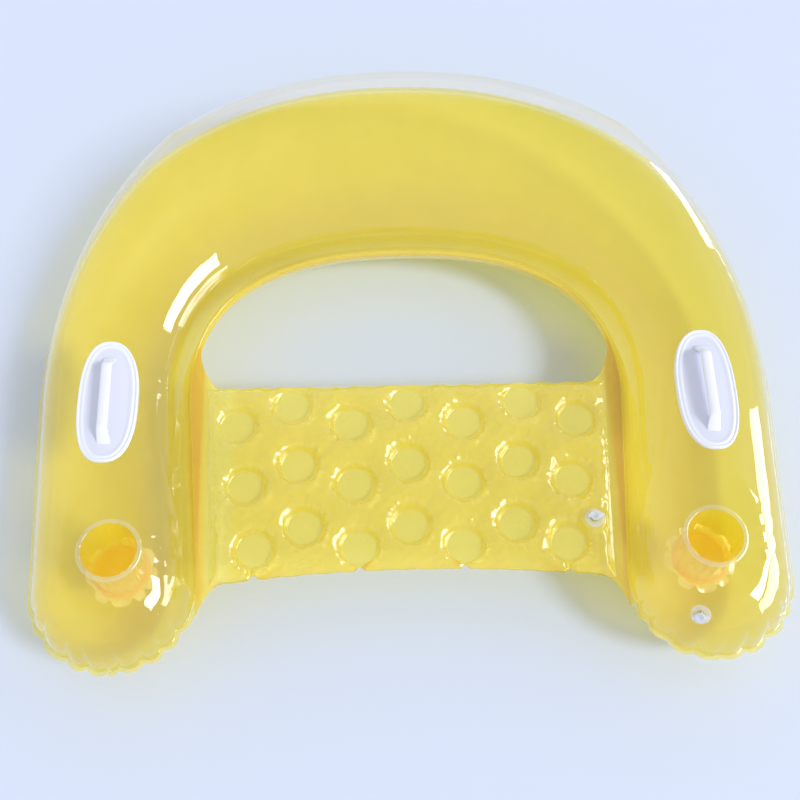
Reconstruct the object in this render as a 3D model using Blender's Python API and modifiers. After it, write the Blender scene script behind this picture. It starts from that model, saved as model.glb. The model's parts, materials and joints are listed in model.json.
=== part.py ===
"""Inflatable pool chair: a U-shaped air tube with a quilted seat mat between its arms.

Metres, +Z up. The arms point to -Y, the back is at +Y, and the chair lies on z = 0.
Plan positions are written in the hips' frame, where y = 0 is the line at which the
straight arms turn into the arched back. The root empty shifts that frame so that the
chair's middle is at the origin.
"""
import math

import bmesh
import bpy
from mathutils import Matrix, Vector
from mathutils.bvhtree import BVHTree

# Tube, in plan
HALF_SPAN = 0.4655
ARM_TOE_IN = 0.0185
ARM_LENGTH = 0.320
ARCH_RISE = 0.425
ARCH_POWER = 2.24
ARM_END_RADIUS = 0.121
HIP_RADIUS = 0.116
BACK_RADIUS = 0.160
HEIGHT_SHARE = 0.93
SEAM_WIDTH = 0.007

# Sheets and fits
SHEET = 0.0005
GAP = 0.0003
OVERRUN = 0.03
BLOCK_DEPTH = 0.05

# Tube mesh
END_STEPS = 5
ARCH_STEPS = 20
ARM_STATION_SHARES = (0.0, 0.11, 0.22, 0.35, 0.50, 0.66, 0.83)
UPPER_ANGLES_DEG = (72, 54, 36, 18, 0)
LOWER_ANGLES_DEG = (84, 66, 48, 30, 13, 0)
EDGE_SEARCH_STEPS = 40
EDGE_SEARCH_DEG = 80

# Cups, one sunk in each arm's end
CUP_INSET = 0.01029
CUP_SETBACK = 0.031
CUP_BORE_RADIUS = 0.040
CUP_RIM_RADIUS = 0.048
CUP_RIM_THICKNESS = 0.0015
CUP_FLOOR_RADIUS = 0.053
CUP_DEPTH = 0.098
CUP_DIMPLE = 0.014
CUP_DIMPLE_FLAT = 0.054
CUP_DIMPLE_RADIUS = 0.100
CUP_SIDES = 32

# Grab handles, one on top of each arm
HANDLE_INSET = 0.00626
HANDLE_Y = -0.056
HANDLE_LENGTH = 0.203
HANDLE_WIDTH = 0.091
HANDLE_POWER = 2.5
HANDLE_PLATE = 0.002
HANDLE_RIM_HEIGHT = 0.006
HANDLE_RIM_WIDTH = 0.006
HANDLE_SIDES = 40
BAR_REACH = 0.064
BAR_SHOULDER = 0.048
BAR_RISE = 0.021
BAR_DEPTH_RADIUS = 0.0055
BAR_WIDTH_SHARE = 1.5
BAR_POINTS = 6
BAR_BEVEL_STEPS = 2

# Seat mat
PAD_REAR_MARGIN = 0.0275
PAD_FRONT_MARGIN = 0.02167
PAD_REAR_Y = 0.0147
PAD_FRONT_BOW = 0.020
WEB_REAR_REACH = 0.095
WEB_FRONT_REACH = 0.046
WEB_START_SHARE = 0.86
SEAT_BULGE = 0.022
PAD_ROUNDING = 0.026
SPOT_RADIUS = 0.027
SPOT_SHOULDER = 0.020
SPOT_SIDE_MARGIN = 0.0475
SPOT_NARROWING_SHARE = 0.055
SPOT_PITCH_Y = 0.104
SPOT_STAGGER = 0.034
SPOT_FIRST_Y = -0.020
SPOT_COLUMNS = 7
SPOT_ROWS = 3
SEAT_CLEARANCE = 0.0015
STEPS_PER_COLUMN = 4
STEPS_PER_ROW = 6

# Air valves, one for the tube and one for the seat
TUBE_VALVE_REACH = 0.089
TUBE_VALVE_TURN_DEG = 27.0
SEAT_VALVE_INSET = 0.03045
SEAT_VALVE_SETBACK = 0.0673
SEAT_VALVE_LEVEL_RADIUS = 0.020
SEAT_VALVE_BLEND_RADIUS = 0.042
VALVE_BASE_RADIUS = 0.015
VALVE_REST_SHARES = (0.0, 0.5, 1.0)
VALVE_BASE = 0.001
STEM_RADIUS = 0.0055
STEM_BORE_RADIUS = 0.0038
STEM_LIP_RADIUS = 0.0075
STEM_LIP = 0.002
STEM_DEPTH = 0.010
STEM_TRAVEL = 0.008
STEM_RUNNING_GAP = 0.0004
CAP_RADIUS = 0.0078
CAP_THICKNESS = 0.002
PLUG_TOP_RADIUS = 0.0032
PLUG_END_RADIUS = 0.0024
PLUG_LENGTH = 0.0045
HINGE_OFFSET = 0.0105
KNUCKLE_RADIUS = 0.001
STRAP_WIDTH = 0.005
TAB_LENGTH = 0.005
TAB_WIDTH = 0.006
FLAP_RADIUS = 0.0050
FLAP_THICKNESS = 0.0006
ROUND_SIDES = 20

# Colours and finish seen in the photograph: red, green, blue, alpha, roughness
CLEAR_VINYL = (0.93, 0.95, 1.00, 0.30, 0.10)
YELLOW_VINYL = (0.92, 0.78, 0.10, 0.60, 0.12)
WHITE_MOULDING = (0.88, 0.90, 0.94, 1.00, 0.30)
FROSTED_VINYL = (0.88, 0.91, 0.95, 0.55, 0.25)

CUP_Y = CUP_SETBACK - ARM_LENGTH
PAD_FRONT_Y = PAD_REAR_Y - SPOT_ROWS * SPOT_PITCH_Y
SEAT_VALVE_Y = PAD_FRONT_Y + SEAT_VALVE_SETBACK
SEAT_STEPS_X = STEPS_PER_COLUMN * SPOT_COLUMNS + 2
SEAT_STEPS_Y = STEPS_PER_ROW * SPOT_ROWS
MID_Y = (ARCH_RISE + BACK_RADIUS - ARM_LENGTH - ARM_END_RADIUS) / 2
SKIN_RISE = GAP / 2 + SHEET
MERGE_DISTANCE = GAP / 10


def clear_scene():
    for item in list(bpy.data.objects):
        bpy.data.objects.remove(item, do_unlink=True)


def new_collection(name):
    collection = bpy.data.collections.new(name)
    bpy.context.scene.collection.children.link(collection)
    return collection


def make_material(name, look):
    """Principled material of one of the looks above."""
    material = bpy.data.materials.new(name)
    material.use_nodes = True
    shader = material.node_tree.nodes["Principled BSDF"]
    shader.inputs["Base Color"].default_value = (*look[:3], 1.0)
    shader.inputs["Alpha"].default_value = look[3]
    shader.inputs["Roughness"].default_value = look[4]
    shader.inputs["Metallic"].default_value = 0.0
    material.diffuse_color = look[:4]
    return material


def smooth_step(value):
    share = min(max(value, 0.0), 1.0)
    return share * share * (3.0 - 2.0 * share)


class Chair:
    """The scene's collections and root, and the making of named objects in them."""

    def __init__(self):
        self.parts = new_collection("pool_chair")
        self.cutters = new_collection("cutters")
        self.root = bpy.data.objects.new("pool_chair_frame", None)
        self.root.location = (0.0, -MID_Y, 0.0)
        self.parts.objects.link(self.root)

    def add_part(self, name, mesh, look, parent=None, location=(0.0, 0.0, 0.0)):
        part = bpy.data.objects.new(name, mesh)
        part.data.materials.clear()
        part.data.materials.append(make_material(name, look))
        part.parent = parent or self.root
        part.location = location
        mesh.shade_smooth()
        self.parts.objects.link(part)
        return part

    def add_cutter(self, name, mesh, parent=None, location=(0.0, 0.0, 0.0)):
        cutter = bpy.data.objects.new(name, mesh)
        cutter.parent = parent or self.root
        cutter.location = location
        cutter.hide_render = True
        cutter.display_type = "WIRE"
        self.cutters.objects.link(cutter)
        return cutter


def combine(part, operation, *cutters):
    """Boolean modifiers of one kind on a part, in the order of the cutters."""
    for cutter in cutters:
        modifier = part.modifiers.new(cutter.name, "BOOLEAN")
        modifier.operation = operation
        modifier.object = cutter
        modifier.solver = "EXACT"


def finish_mesh(name, build_mesh):
    mesh = bpy.data.meshes.new(name)
    build_mesh.to_mesh(mesh)
    build_mesh.free()
    return mesh


def cylinder_mesh(name, radius, low, high, sides=ROUND_SIDES, top_radius=None):
    """Cylinder or cone frustum along Z between two heights."""
    build_mesh = bmesh.new()
    middle = Matrix.Translation((0.0, 0.0, (low + high) / 2))
    wide = radius if top_radius is None else top_radius
    bmesh.ops.create_cone(build_mesh, cap_ends=True, segments=sides, radius1=radius,
                          radius2=wide, depth=high - low, matrix=middle)
    return finish_mesh(name, build_mesh)


def ring_mesh(name, inner, outer, low, high, sides):
    """Round ring with a rectangular section, turned about Z."""
    build_mesh = bmesh.new()
    corners = [build_mesh.verts.new((radius, 0.0, height))
               for radius, height in ((inner, low), (outer, low), (outer, high), (inner, high))]
    edges = [build_mesh.edges.new(pair) for pair in zip(corners, corners[1:] + corners[:1])]
    bmesh.ops.spin(build_mesh, geom=corners + edges, cent=(0.0, 0.0, 0.0), axis=(0.0, 0.0, 1.0),
                   angle=2 * math.pi, steps=sides)
    bmesh.ops.remove_doubles(build_mesh, verts=build_mesh.verts, dist=MERGE_DISTANCE)
    bmesh.ops.recalc_face_normals(build_mesh, faces=build_mesh.faces)
    return finish_mesh(name, build_mesh)


def box_mesh(name, size, centre):
    build_mesh = bmesh.new()
    placed = Matrix.Translation(centre) @ Matrix.Diagonal((*size, 1.0))
    bmesh.ops.create_cube(build_mesh, size=1.0, matrix=placed)
    return finish_mesh(name, build_mesh)


def oval_mesh(name, length, width, low, high):
    """Upright prism on a rounded oval, longer along Y."""
    mesh = cylinder_mesh(name, 1.0, low, high, HANDLE_SIDES)
    for vertex in mesh.vertices:
        vertex.co.x = width / 2 * superellipse(vertex.co.x, HANDLE_POWER)
        vertex.co.y = length / 2 * superellipse(vertex.co.y, HANDLE_POWER)
    return mesh


def superellipse(unit, power):
    """Coordinate on a superellipse for the cosine or sine of its angle."""
    return math.copysign(abs(unit) ** (2.0 / power), unit)


# Tube


def tube_radius(y):
    """Half the tube's width at a plan position along the chair."""
    if y <= 0:
        return HIP_RADIUS + (ARM_END_RADIUS - HIP_RADIUS) * min(-y / ARM_LENGTH, 1.0)
    return HIP_RADIUS + (BACK_RADIUS - HIP_RADIUS) * min(y / ARCH_RISE, 1.0) ** ARCH_POWER


def seam_height(y):
    """Height of the weld seam, which is half the tube's own height there."""
    return HEIGHT_SHARE * tube_radius(y)


def arm_x(y):
    """Distance of an arm's centreline from the middle of the chair."""
    return HALF_SPAN - ARM_TOE_IN * min(-y / ARM_LENGTH, 1.0)


def arch_station(turn):
    """Centre, outward direction and radius on the arched back, turn 0 at the right hip."""
    across, along = math.cos(turn), math.sin(turn)
    centre = Vector((HALF_SPAN * superellipse(across, ARCH_POWER),
                     ARCH_RISE * superellipse(along, ARCH_POWER), 0.0))
    lean = 2.0 - 2.0 / ARCH_POWER
    outward = Vector((math.copysign(abs(across) ** lean, across) / HALF_SPAN,
                      abs(along) ** lean / ARCH_RISE, 0.0)).normalized()
    return centre, outward, tube_radius(centre.y)


def tube_stations():
    """Stations from the right arm's end round the back to the left arm's end.

    Each holds its centre, its radius, and the directions of its outer and inner side.
    Round an arm's end the two sides turn towards the tip, where they meet.
    """
    right = []
    end = Vector((arm_x(-ARM_LENGTH), -ARM_LENGTH, 0.0))
    for step in range(END_STEPS):
        turn = math.radians(90) * (1.0 - step / END_STEPS)
        outer = Vector((math.cos(turn), -math.sin(turn), 0.0))
        inner = Vector((-math.cos(turn), -math.sin(turn), 0.0))
        right.append((end, ARM_END_RADIUS, outer, inner))
    for share in ARM_STATION_SHARES:
        y = -ARM_LENGTH * (1.0 - share)
        centre = Vector((arm_x(y), y, 0.0))
        right.append((centre, tube_radius(y), Vector((1.0, 0.0, 0.0)), Vector((-1.0, 0.0, 0.0))))
    arch = []
    for step in range(ARCH_STEPS + 1):
        centre, outward, radius = arch_station(math.pi * step / ARCH_STEPS)
        arch.append((centre, radius, outward, -outward))
    flip = Vector((-1.0, 1.0, 1.0))
    left = [(centre * flip, radius, outer * flip, inner * flip)
            for centre, radius, outer, inner in reversed(right)]
    return right + arch + left


def section_rows(angles_deg, with_seam):
    """Signed offset, height share and extra width of each row, from inner to outer side."""
    side = [(math.cos(math.radians(angle)), math.sin(math.radians(angle)), 0.0)
            for angle in angles_deg]
    if with_seam:
        side.append((1.0, 0.0, SEAM_WIDTH))
    inner = [(-offset, height, -extra) for offset, height, extra in reversed(side)]
    return inner, side


def grid_mesh(name, columns, rows, place, downward):
    """Grid whose point (column, row) goes where place puts it, facing up or down.

    It is split into triangles along the same diagonals at every offset, so that a piece
    cut by a grown skin lies evenly on the skin it was grown from.
    """
    build_mesh = bmesh.new()
    bmesh.ops.create_grid(build_mesh, x_segments=columns - 1, y_segments=rows - 1, size=1.0)
    for vertex in build_mesh.verts:
        column = round((vertex.co.x + 1.0) / 2.0 * (columns - 1))
        row = round((vertex.co.y + 1.0) / 2.0 * (rows - 1))
        vertex.co = place(column, row)
    bmesh.ops.remove_doubles(build_mesh, verts=build_mesh.verts, dist=MERGE_DISTANCE)
    bmesh.ops.triangulate(build_mesh, faces=build_mesh.faces, quad_method="FIXED")
    bmesh.ops.recalc_face_normals(build_mesh, faces=build_mesh.faces)
    build_mesh.normal_update()
    facing = sum(face.normal.z * face.calc_area() for face in build_mesh.faces)
    if (facing < 0) != downward:
        bmesh.ops.reverse_faces(build_mesh, faces=build_mesh.faces)
    return build_mesh


def cup_x():
    """Distance of a cup's middle from the middle of the chair."""
    return arm_x(CUP_Y) - CUP_INSET


def cup_pull(x, y):
    """Share of the cup's dimple at a plan position: 1 round the rim, 0 away from it."""
    distance = math.hypot(abs(x) - cup_x(), y - CUP_Y)
    return smooth_step((CUP_DIMPLE_RADIUS - distance) / (CUP_DIMPLE_RADIUS - CUP_DIMPLE_FLAT))


def cup_rim_height():
    return 2 * seam_height(CUP_Y) - CUP_DIMPLE


def upper_height(x, y, height_share, offset):
    """Height of the tube's upper skin, raised by an offset, with the dimples round the cups."""
    half = seam_height(y)
    height = half + SKIN_RISE + height_share * (half + offset)
    pull = cup_pull(x, y)
    return height + pull * (min(cup_rim_height() + offset, height) - height)


def tube_point(station, row, offset=0.0):
    """Plan position of a row of the section at a station."""
    centre, radius, outer, inner = station
    share, _, extra = row
    reach = abs(share) * (radius + offset) + abs(extra)
    return centre + (outer if share > 0 else inner) * reach


def upper_skin(name, offset, with_seam):
    """Upper half of the tube as an open surface, grown outwards by an offset."""
    inner, outer = section_rows(UPPER_ANGLES_DEG, with_seam)
    rows = inner + [(0.0, 1.0, 0.0)] + outer
    stations = tube_stations()

    def place(column, row):
        point = tube_point(stations[column], rows[row], offset)
        point.z = upper_height(point.x, point.y, rows[row][1], offset)
        return point

    return grid_mesh(name, len(stations), len(rows), place, downward=False)


def lower_skin(name):
    """Lower half of the tube as an open surface, with the flat that it lies on."""
    inner, outer = section_rows(LOWER_ANGLES_DEG, with_seam=True)
    rows = inner + outer
    stations = tube_stations()
    flat_share = math.sin(math.radians(LOWER_ANGLES_DEG[0]))

    def place(column, row):
        point = tube_point(stations[column], rows[row])
        half = seam_height(point.y) - SKIN_RISE
        point.z = half * (1.0 - rows[row][1] / flat_share)
        return point

    return grid_mesh(name, len(stations), len(rows), place, downward=True)


def add_sheet_thickness(part):
    modifier = part.modifiers.new("sheet", "SOLIDIFY")
    modifier.thickness = SHEET
    modifier.offset = -1.0


def make_tube(chair):
    upper = chair.add_part("tube_upper_sheet",
                           finish_mesh("tube_upper_sheet", upper_skin("upper", 0.0, True)), CLEAR_VINYL)
    lower = chair.add_part("tube_lower_sheet",
                           finish_mesh("tube_lower_sheet", lower_skin("lower")), YELLOW_VINYL)
    add_sheet_thickness(upper)
    add_sheet_thickness(lower)
    return upper


def drop_walls(build_mesh, low):
    """Close an open surface into a block: its border runs down to a level and is filled."""
    border = [edge for edge in build_mesh.edges if edge.is_boundary]
    made = bmesh.ops.extrude_edge_only(build_mesh, edges=border)["geom"]
    for item in made:
        if isinstance(item, bmesh.types.BMVert):
            item.co.z = low
    rim = [edge for edge in build_mesh.edges if edge.is_boundary]
    bmesh.ops.contextual_create(build_mesh, geom=rim)
    bmesh.ops.recalc_face_normals(build_mesh, faces=build_mesh.faces)


def tube_block(chair, name, offset):
    """Cutter that fills the tube up to an offset above its upper sheet."""
    build_mesh = upper_skin(name, offset, False)
    drop_walls(build_mesh, -BLOCK_DEPTH)
    return chair.add_cutter(name, finish_mesh(name, build_mesh))


# Cups


def make_cup(chair, side, upper, rest_block, rim_block):
    """Rim ring, wall and floor of one cup, and its hole through the upper sheet.

    The air lifts the floor inside the wall a little above its weld margin outside it.
    """
    name = "left" if side < 0 else "right"
    place = (side * cup_x(), CUP_Y, 0.0)
    wall_radius = CUP_BORE_RADIUS + SHEET
    floor_top = cup_rim_height() - CUP_DEPTH
    margin_top = floor_top - SHEET / 2
    above = cup_rim_height() + OVERRUN
    hole = chair.add_cutter(name + "_cup_hole",
                            cylinder_mesh("cup_hole", wall_radius + GAP, floor_top, above, CUP_SIDES),
                            location=place)
    combine(upper, "DIFFERENCE", hole)
    ring = ring_mesh("cup_rim", wall_radius + GAP, CUP_RIM_RADIUS, floor_top, above, CUP_SIDES)
    rim = chair.add_part(name + "_cup_rim", ring, FROSTED_VINYL, location=place)
    combine(rim, "INTERSECT", rim_block)
    combine(rim, "DIFFERENCE", rest_block)
    sleeve = ring_mesh("cup_wall", CUP_BORE_RADIUS, wall_radius, margin_top + GAP, above, CUP_SIDES)
    wall = chair.add_part(name + "_cup_wall", sleeve, YELLOW_VINYL, location=place)
    combine(wall, "INTERSECT", rim_block)
    disc_radius = CUP_BORE_RADIUS - GAP
    floor = chair.add_part(name + "_cup_floor",
                           cylinder_mesh("cup_floor", disc_radius, floor_top - SHEET, floor_top, CUP_SIDES),
                           YELLOW_VINYL, location=place)
    margin = chair.add_cutter(name + "_cup_margin",
                              ring_mesh("cup_margin", disc_radius - SHEET, CUP_FLOOR_RADIUS,
                                        margin_top - SHEET, margin_top, CUP_SIDES),
                              location=place)
    combine(floor, "UNION", margin)


# Handles


def bar_curve(name):
    """Grip bar as an arched curve: a foot at each end, shoulders and a level top."""
    curve = bpy.data.curves.new(name, "CURVE")
    curve.dimensions = "3D"
    curve.bevel_depth = BAR_DEPTH_RADIUS
    curve.bevel_resolution = BAR_BEVEL_STEPS
    curve.use_fill_caps = True
    curve.resolution_u = BAR_POINTS
    spline = curve.splines.new("BEZIER")
    route = ((-BAR_REACH, -BAR_RISE, 0.0), (-BAR_SHOULDER, BAR_RISE, 1.0),
             (BAR_SHOULDER, BAR_RISE, 1.0), (BAR_REACH, -BAR_RISE, 0.0))
    spline.bezier_points.add(len(route) - 1)
    for point, (along, height, level) in zip(spline.bezier_points, route):
        point.co = (0.0, along, height)
        turn = Vector((0.0, level * (BAR_REACH - BAR_SHOULDER), 0.0))
        rise = Vector((0.0, 0.0, (1.0 - level) * BAR_RISE))
        ahead = rise if along < 0 else -rise
        point.handle_left = point.co - turn - ahead
        point.handle_right = point.co + turn + ahead
    return curve


def bar_mesh(name):
    """The grip bar's curve as a closed mesh, widened across the hand."""
    guide = bpy.data.objects.new(name, bar_curve(name))
    bpy.context.scene.collection.objects.link(guide)
    evaluated = guide.evaluated_get(bpy.context.evaluated_depsgraph_get())
    mesh = bpy.data.meshes.new_from_object(evaluated)
    bpy.data.objects.remove(guide, do_unlink=True)
    build_mesh = bmesh.new()
    build_mesh.from_mesh(mesh)
    bmesh.ops.remove_doubles(build_mesh, verts=build_mesh.verts, dist=MERGE_DISTANCE)
    for vertex in build_mesh.verts:
        vertex.co.x *= BAR_WIDTH_SHARE
    build_mesh.to_mesh(mesh)
    build_mesh.free()
    return mesh


def make_handle(chair, side, rest_block, plate_block, rim_block, foot_block):
    """Oval plate with a raised rim, and the bar that the hand closes on."""
    name = "left" if side < 0 else "right"
    crown = 2 * seam_height(HANDLE_Y) + SKIN_RISE
    place = (side * (arm_x(HANDLE_Y) - HANDLE_INSET), HANDLE_Y, crown)
    low, high = -OVERRUN, OVERRUN
    plate = chair.add_part(name + "_handle_plate",
                           oval_mesh("handle_plate", HANDLE_LENGTH, HANDLE_WIDTH, low, high),
                           WHITE_MOULDING, location=place)
    dish = chair.add_cutter(name + "_handle_dish",
                            oval_mesh("handle_dish", HANDLE_LENGTH - 2 * HANDLE_RIM_WIDTH,
                                      HANDLE_WIDTH - 2 * HANDLE_RIM_WIDTH, low - OVERRUN, high + OVERRUN),
                            location=place)
    combine(dish, "DIFFERENCE", plate_block)
    combine(plate, "INTERSECT", rim_block)
    combine(plate, "DIFFERENCE", dish, rest_block)
    bar = chair.add_part(name + "_handle_bar", bar_mesh("handle_bar"), WHITE_MOULDING, location=place)
    combine(bar, "DIFFERENCE", foot_block)


# Seat


def inner_edge_x(y):
    """Half-width between the tube's inner sides, found by halving along the arched back."""
    if y <= 0:
        return arm_x(y) - tube_radius(y)
    low, high = 0.0, math.radians(EDGE_SEARCH_DEG)
    for _ in range(EDGE_SEARCH_STEPS):
        turn = (low + high) / 2
        centre, outward, radius = arch_station(turn)
        if (centre - outward * radius).y < y:
            low = turn
        else:
            high = turn
    return (centre - outward * radius).x


def web_share(across):
    """How far a corner web has flared at a share of the seat's half-width."""
    reach = max(abs(across) - WEB_START_SHARE, 0.0) / (1.0 - WEB_START_SHARE)
    return reach * reach


def seat_rear(across):
    return PAD_REAR_Y + WEB_REAR_REACH * web_share(across)


def pad_half_width(y):
    """Half the width of the mat's inflated part, which narrows towards the front."""
    share = min(max((PAD_REAR_Y - y) / (PAD_REAR_Y - PAD_FRONT_Y), 0.0), 1.0)
    rear = inner_edge_x(0.0) - PAD_REAR_MARGIN
    front = inner_edge_x(PAD_FRONT_Y) - PAD_FRONT_MARGIN
    return rear + (front - rear) * share


def pad_front(across):
    return PAD_FRONT_Y - PAD_FRONT_BOW * across * across


def seat_front(across):
    return pad_front(across) - WEB_FRONT_REACH * web_share(across)


def column_pitch(y):
    """Distance between the columns of welds, which draw together towards the front."""
    rows_back = min(max((SPOT_FIRST_Y - y) / SPOT_PITCH_Y, 0.0), SPOT_ROWS)
    rear_pitch = (pad_half_width(PAD_REAR_Y) - SPOT_SIDE_MARGIN) / (SPOT_COLUMNS // 2)
    return rear_pitch * (1.0 - SPOT_NARROWING_SHARE * rows_back)


def weld_spots():
    """Centres of the round welds: columns across the seat, every second one set back."""
    middle = SPOT_COLUMNS // 2
    for column in range(SPOT_COLUMNS):
        set_back = SPOT_STAGGER if (column - middle) % 2 else 0.0
        for row in range(SPOT_ROWS):
            y = SPOT_FIRST_Y - set_back - row * SPOT_PITCH_Y
            yield (column - middle) * column_pitch(y), y


def seat_valve_x():
    """Distance of the seat's valve from the middle of the chair."""
    return pad_half_width(SEAT_VALVE_Y) - SEAT_VALVE_INSET


def seat_bulge(x, y):
    """Half the mat's thickness: full between the welds, none on them and at its borders."""
    half_width = pad_half_width(y)
    border = min(half_width - abs(x), PAD_REAR_Y - y, y - pad_front(x / half_width))
    swell = 1.0
    for spot_x, spot_y in weld_spots():
        distance = math.hypot(x - spot_x, y - spot_y)
        swell *= smooth_step((distance - SPOT_RADIUS) / SPOT_SHOULDER)
    reach = math.hypot(x - seat_valve_x(), y - SEAT_VALVE_Y)
    level = smooth_step((SEAT_VALVE_BLEND_RADIUS - reach)
                        / (SEAT_VALVE_BLEND_RADIUS - SEAT_VALVE_LEVEL_RADIUS))
    rounding = math.sqrt(min(max(border / PAD_ROUNDING, 0.0), 1.0))
    return SEAT_BULGE * rounding * (swell + level * (1.0 - swell))


def seat_height(y):
    """Middle height of the mat, whose border lies on the tube's inner seam."""
    return seam_height(y) + 2 * SHEET + 2 * GAP


def seat_skin(name, direction, offset=0.0):
    """Upper or lower sheet of the mat as an open surface, raised by an offset."""
    middle = SEAT_STEPS_X // 2

    def place(column, row):
        across = (column - middle) / middle
        if row == 0:
            y = seat_front(across)
        elif row == SEAT_STEPS_Y:
            y = seat_rear(across)
        else:
            y = PAD_FRONT_Y + row * SPOT_PITCH_Y / STEPS_PER_ROW
        if abs(column - middle) == middle:
            x = math.copysign(inner_edge_x(y) - SEAT_CLEARANCE, across)
        elif abs(column - middle) == middle - 1:
            x = math.copysign(pad_half_width(y), across)
        else:
            x = (column - middle) * column_pitch(y) / STEPS_PER_COLUMN
        rise = GAP / 2 + SHEET + seat_bulge(x, y) + offset
        return Vector((x, y, seat_height(y) + direction * rise))

    return grid_mesh(name, SEAT_STEPS_X + 1, SEAT_STEPS_Y + 1, place, downward=direction < 0)


def make_seat(chair):
    upper = chair.add_part("seat_upper_sheet",
                           finish_mesh("seat_upper_sheet", seat_skin("seat_upper", 1)), YELLOW_VINYL)
    lower = chair.add_part("seat_lower_sheet",
                           finish_mesh("seat_lower_sheet", seat_skin("seat_lower", -1)), YELLOW_VINYL)
    add_sheet_thickness(upper)
    add_sheet_thickness(lower)
    return upper


def seat_block(chair, name, offset):
    build_mesh = seat_skin(name, 1, offset)
    drop_walls(build_mesh, 0.0)
    return chair.add_cutter(name, finish_mesh(name, build_mesh))


# Valves


def make_valve(chair, name, place, lean, sheet, rest_block, base_block):
    """Weld base, sliding stem, hinged cap and check flap, built along the valve's own axis."""
    axis = bpy.data.objects.new(name + "_axis", None)
    axis.parent = chair.root
    axis.location = place
    axis.rotation_mode = "QUATERNION"
    axis.rotation_quaternion = Vector((0.0, 0.0, 1.0)).rotation_difference(lean)
    chair.parts.objects.link(axis)
    bore_radius = STEM_RADIUS + STEM_RUNNING_GAP
    hole = chair.add_cutter(name + "_hole",
                            cylinder_mesh("valve_hole", bore_radius, -OVERRUN / 2, OVERRUN / 2), axis)
    combine(sheet, "DIFFERENCE", hole)
    base = chair.add_part(name + "_base",
                          cylinder_mesh("valve_base", VALVE_BASE_RADIUS, -OVERRUN / 2, VALVE_BASE),
                          FROSTED_VINYL, axis)
    combine(base, "INTERSECT", base_block)
    combine(base, "DIFFERENCE", rest_block, hole)
    make_stem(chair, name, axis)
    make_cap(chair, name, axis)
    make_flap(chair, name, axis)


def lip_top():
    """Height of the popped-out stem's lip above the sheet."""
    return VALVE_BASE + GAP + STEM_TRAVEL + STEM_LIP


def make_stem(chair, name, axis):
    top = lip_top()
    stem = chair.add_part(name + "_stem",
                          cylinder_mesh("valve_stem", STEM_RADIUS, -STEM_DEPTH, top), FROSTED_VINYL, axis)
    lip = chair.add_cutter(name + "_lip",
                           cylinder_mesh("valve_lip", STEM_LIP_RADIUS, top - STEM_LIP, top), axis)
    ear_size = (HINGE_OFFSET + KNUCKLE_RADIUS - STEM_BORE_RADIUS, STRAP_WIDTH, STEM_LIP)
    ear = chair.add_cutter(name + "_ear",
                           box_mesh("valve_ear", ear_size,
                                    (-STEM_BORE_RADIUS - ear_size[0] / 2, 0.0, top - STEM_LIP / 2)), axis)
    bore = chair.add_cutter(name + "_bore",
                            cylinder_mesh("valve_bore", STEM_BORE_RADIUS, -STEM_DEPTH - OVERRUN,
                                          top + OVERRUN), axis)
    combine(stem, "UNION", lip, ear)
    combine(stem, "DIFFERENCE", bore)


def make_cap(chair, name, axis):
    """Disc, plug, strap, knuckle and pull tab in one, with its origin on the hinge's axis."""
    hinge = (-HINGE_OFFSET, 0.0, lip_top() + GAP + KNUCKLE_RADIUS)
    centre = (HINGE_OFFSET, 0.0, 0.0)
    low = -KNUCKLE_RADIUS
    disc = cylinder_mesh("valve_cap", CAP_RADIUS, low, low + CAP_THICKNESS)
    disc.transform(Matrix.Translation(centre))
    cap = chair.add_part(name + "_cap", disc, FROSTED_VINYL, axis, hinge)
    plug = cylinder_mesh("valve_plug", PLUG_END_RADIUS, low - PLUG_LENGTH, low + CAP_THICKNESS / 2,
                         top_radius=PLUG_TOP_RADIUS)
    plug.transform(Matrix.Translation(centre))
    strap = box_mesh("valve_strap", (HINGE_OFFSET - CAP_RADIUS / 2, STRAP_WIDTH, KNUCKLE_RADIUS),
                     ((HINGE_OFFSET - CAP_RADIUS / 2) / 2, 0.0, 0.0))
    knuckle = cylinder_mesh("valve_knuckle", KNUCKLE_RADIUS, -STRAP_WIDTH / 2, STRAP_WIDTH / 2)
    knuckle.transform(Matrix.Rotation(math.radians(90), 4, "X"))
    tab = box_mesh("valve_tab", (TAB_LENGTH + CAP_RADIUS, TAB_WIDTH, KNUCKLE_RADIUS),
                   (HINGE_OFFSET + (TAB_LENGTH + CAP_RADIUS) / 2, 0.0, 0.0))
    pieces = [chair.add_cutter(name + "_" + label, mesh, axis, hinge)
              for label, mesh in (("plug", plug), ("strap", strap), ("knuckle", knuckle), ("tab", tab))]
    combine(cap, "UNION", *pieces)


def make_flap(chair, name, axis):
    """Check flap under the stem's bore, with its origin on its hinge at the stem's rim."""
    disc = cylinder_mesh("valve_flap", FLAP_RADIUS, -FLAP_THICKNESS, 0.0)
    disc.transform(Matrix.Translation((FLAP_RADIUS, 0.0, 0.0)))
    chair.add_part(name + "_flap", disc, FROSTED_VINYL, axis, (-FLAP_RADIUS, 0.0, -STEM_DEPTH - GAP))


def tube_valve_place():
    """Foot and direction of the tube's valve on the right arm's rounded end."""
    turn = math.radians(TUBE_VALVE_TURN_DEG)
    towards = Vector((-math.sin(turn), -math.cos(turn), 0.0))
    end = Vector((arm_x(-ARM_LENGTH), -ARM_LENGTH, 0.0))
    share = TUBE_VALVE_REACH / ARM_END_RADIUS
    rise = math.sqrt(1.0 - share * share)
    half = seam_height(-ARM_LENGTH)
    place = end + towards * TUBE_VALVE_REACH
    place.z = half * (1.0 + rise) + SKIN_RISE
    lean = towards * (share / ARM_END_RADIUS)
    lean.z = rise / half
    return place, lean.normalized()


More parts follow.
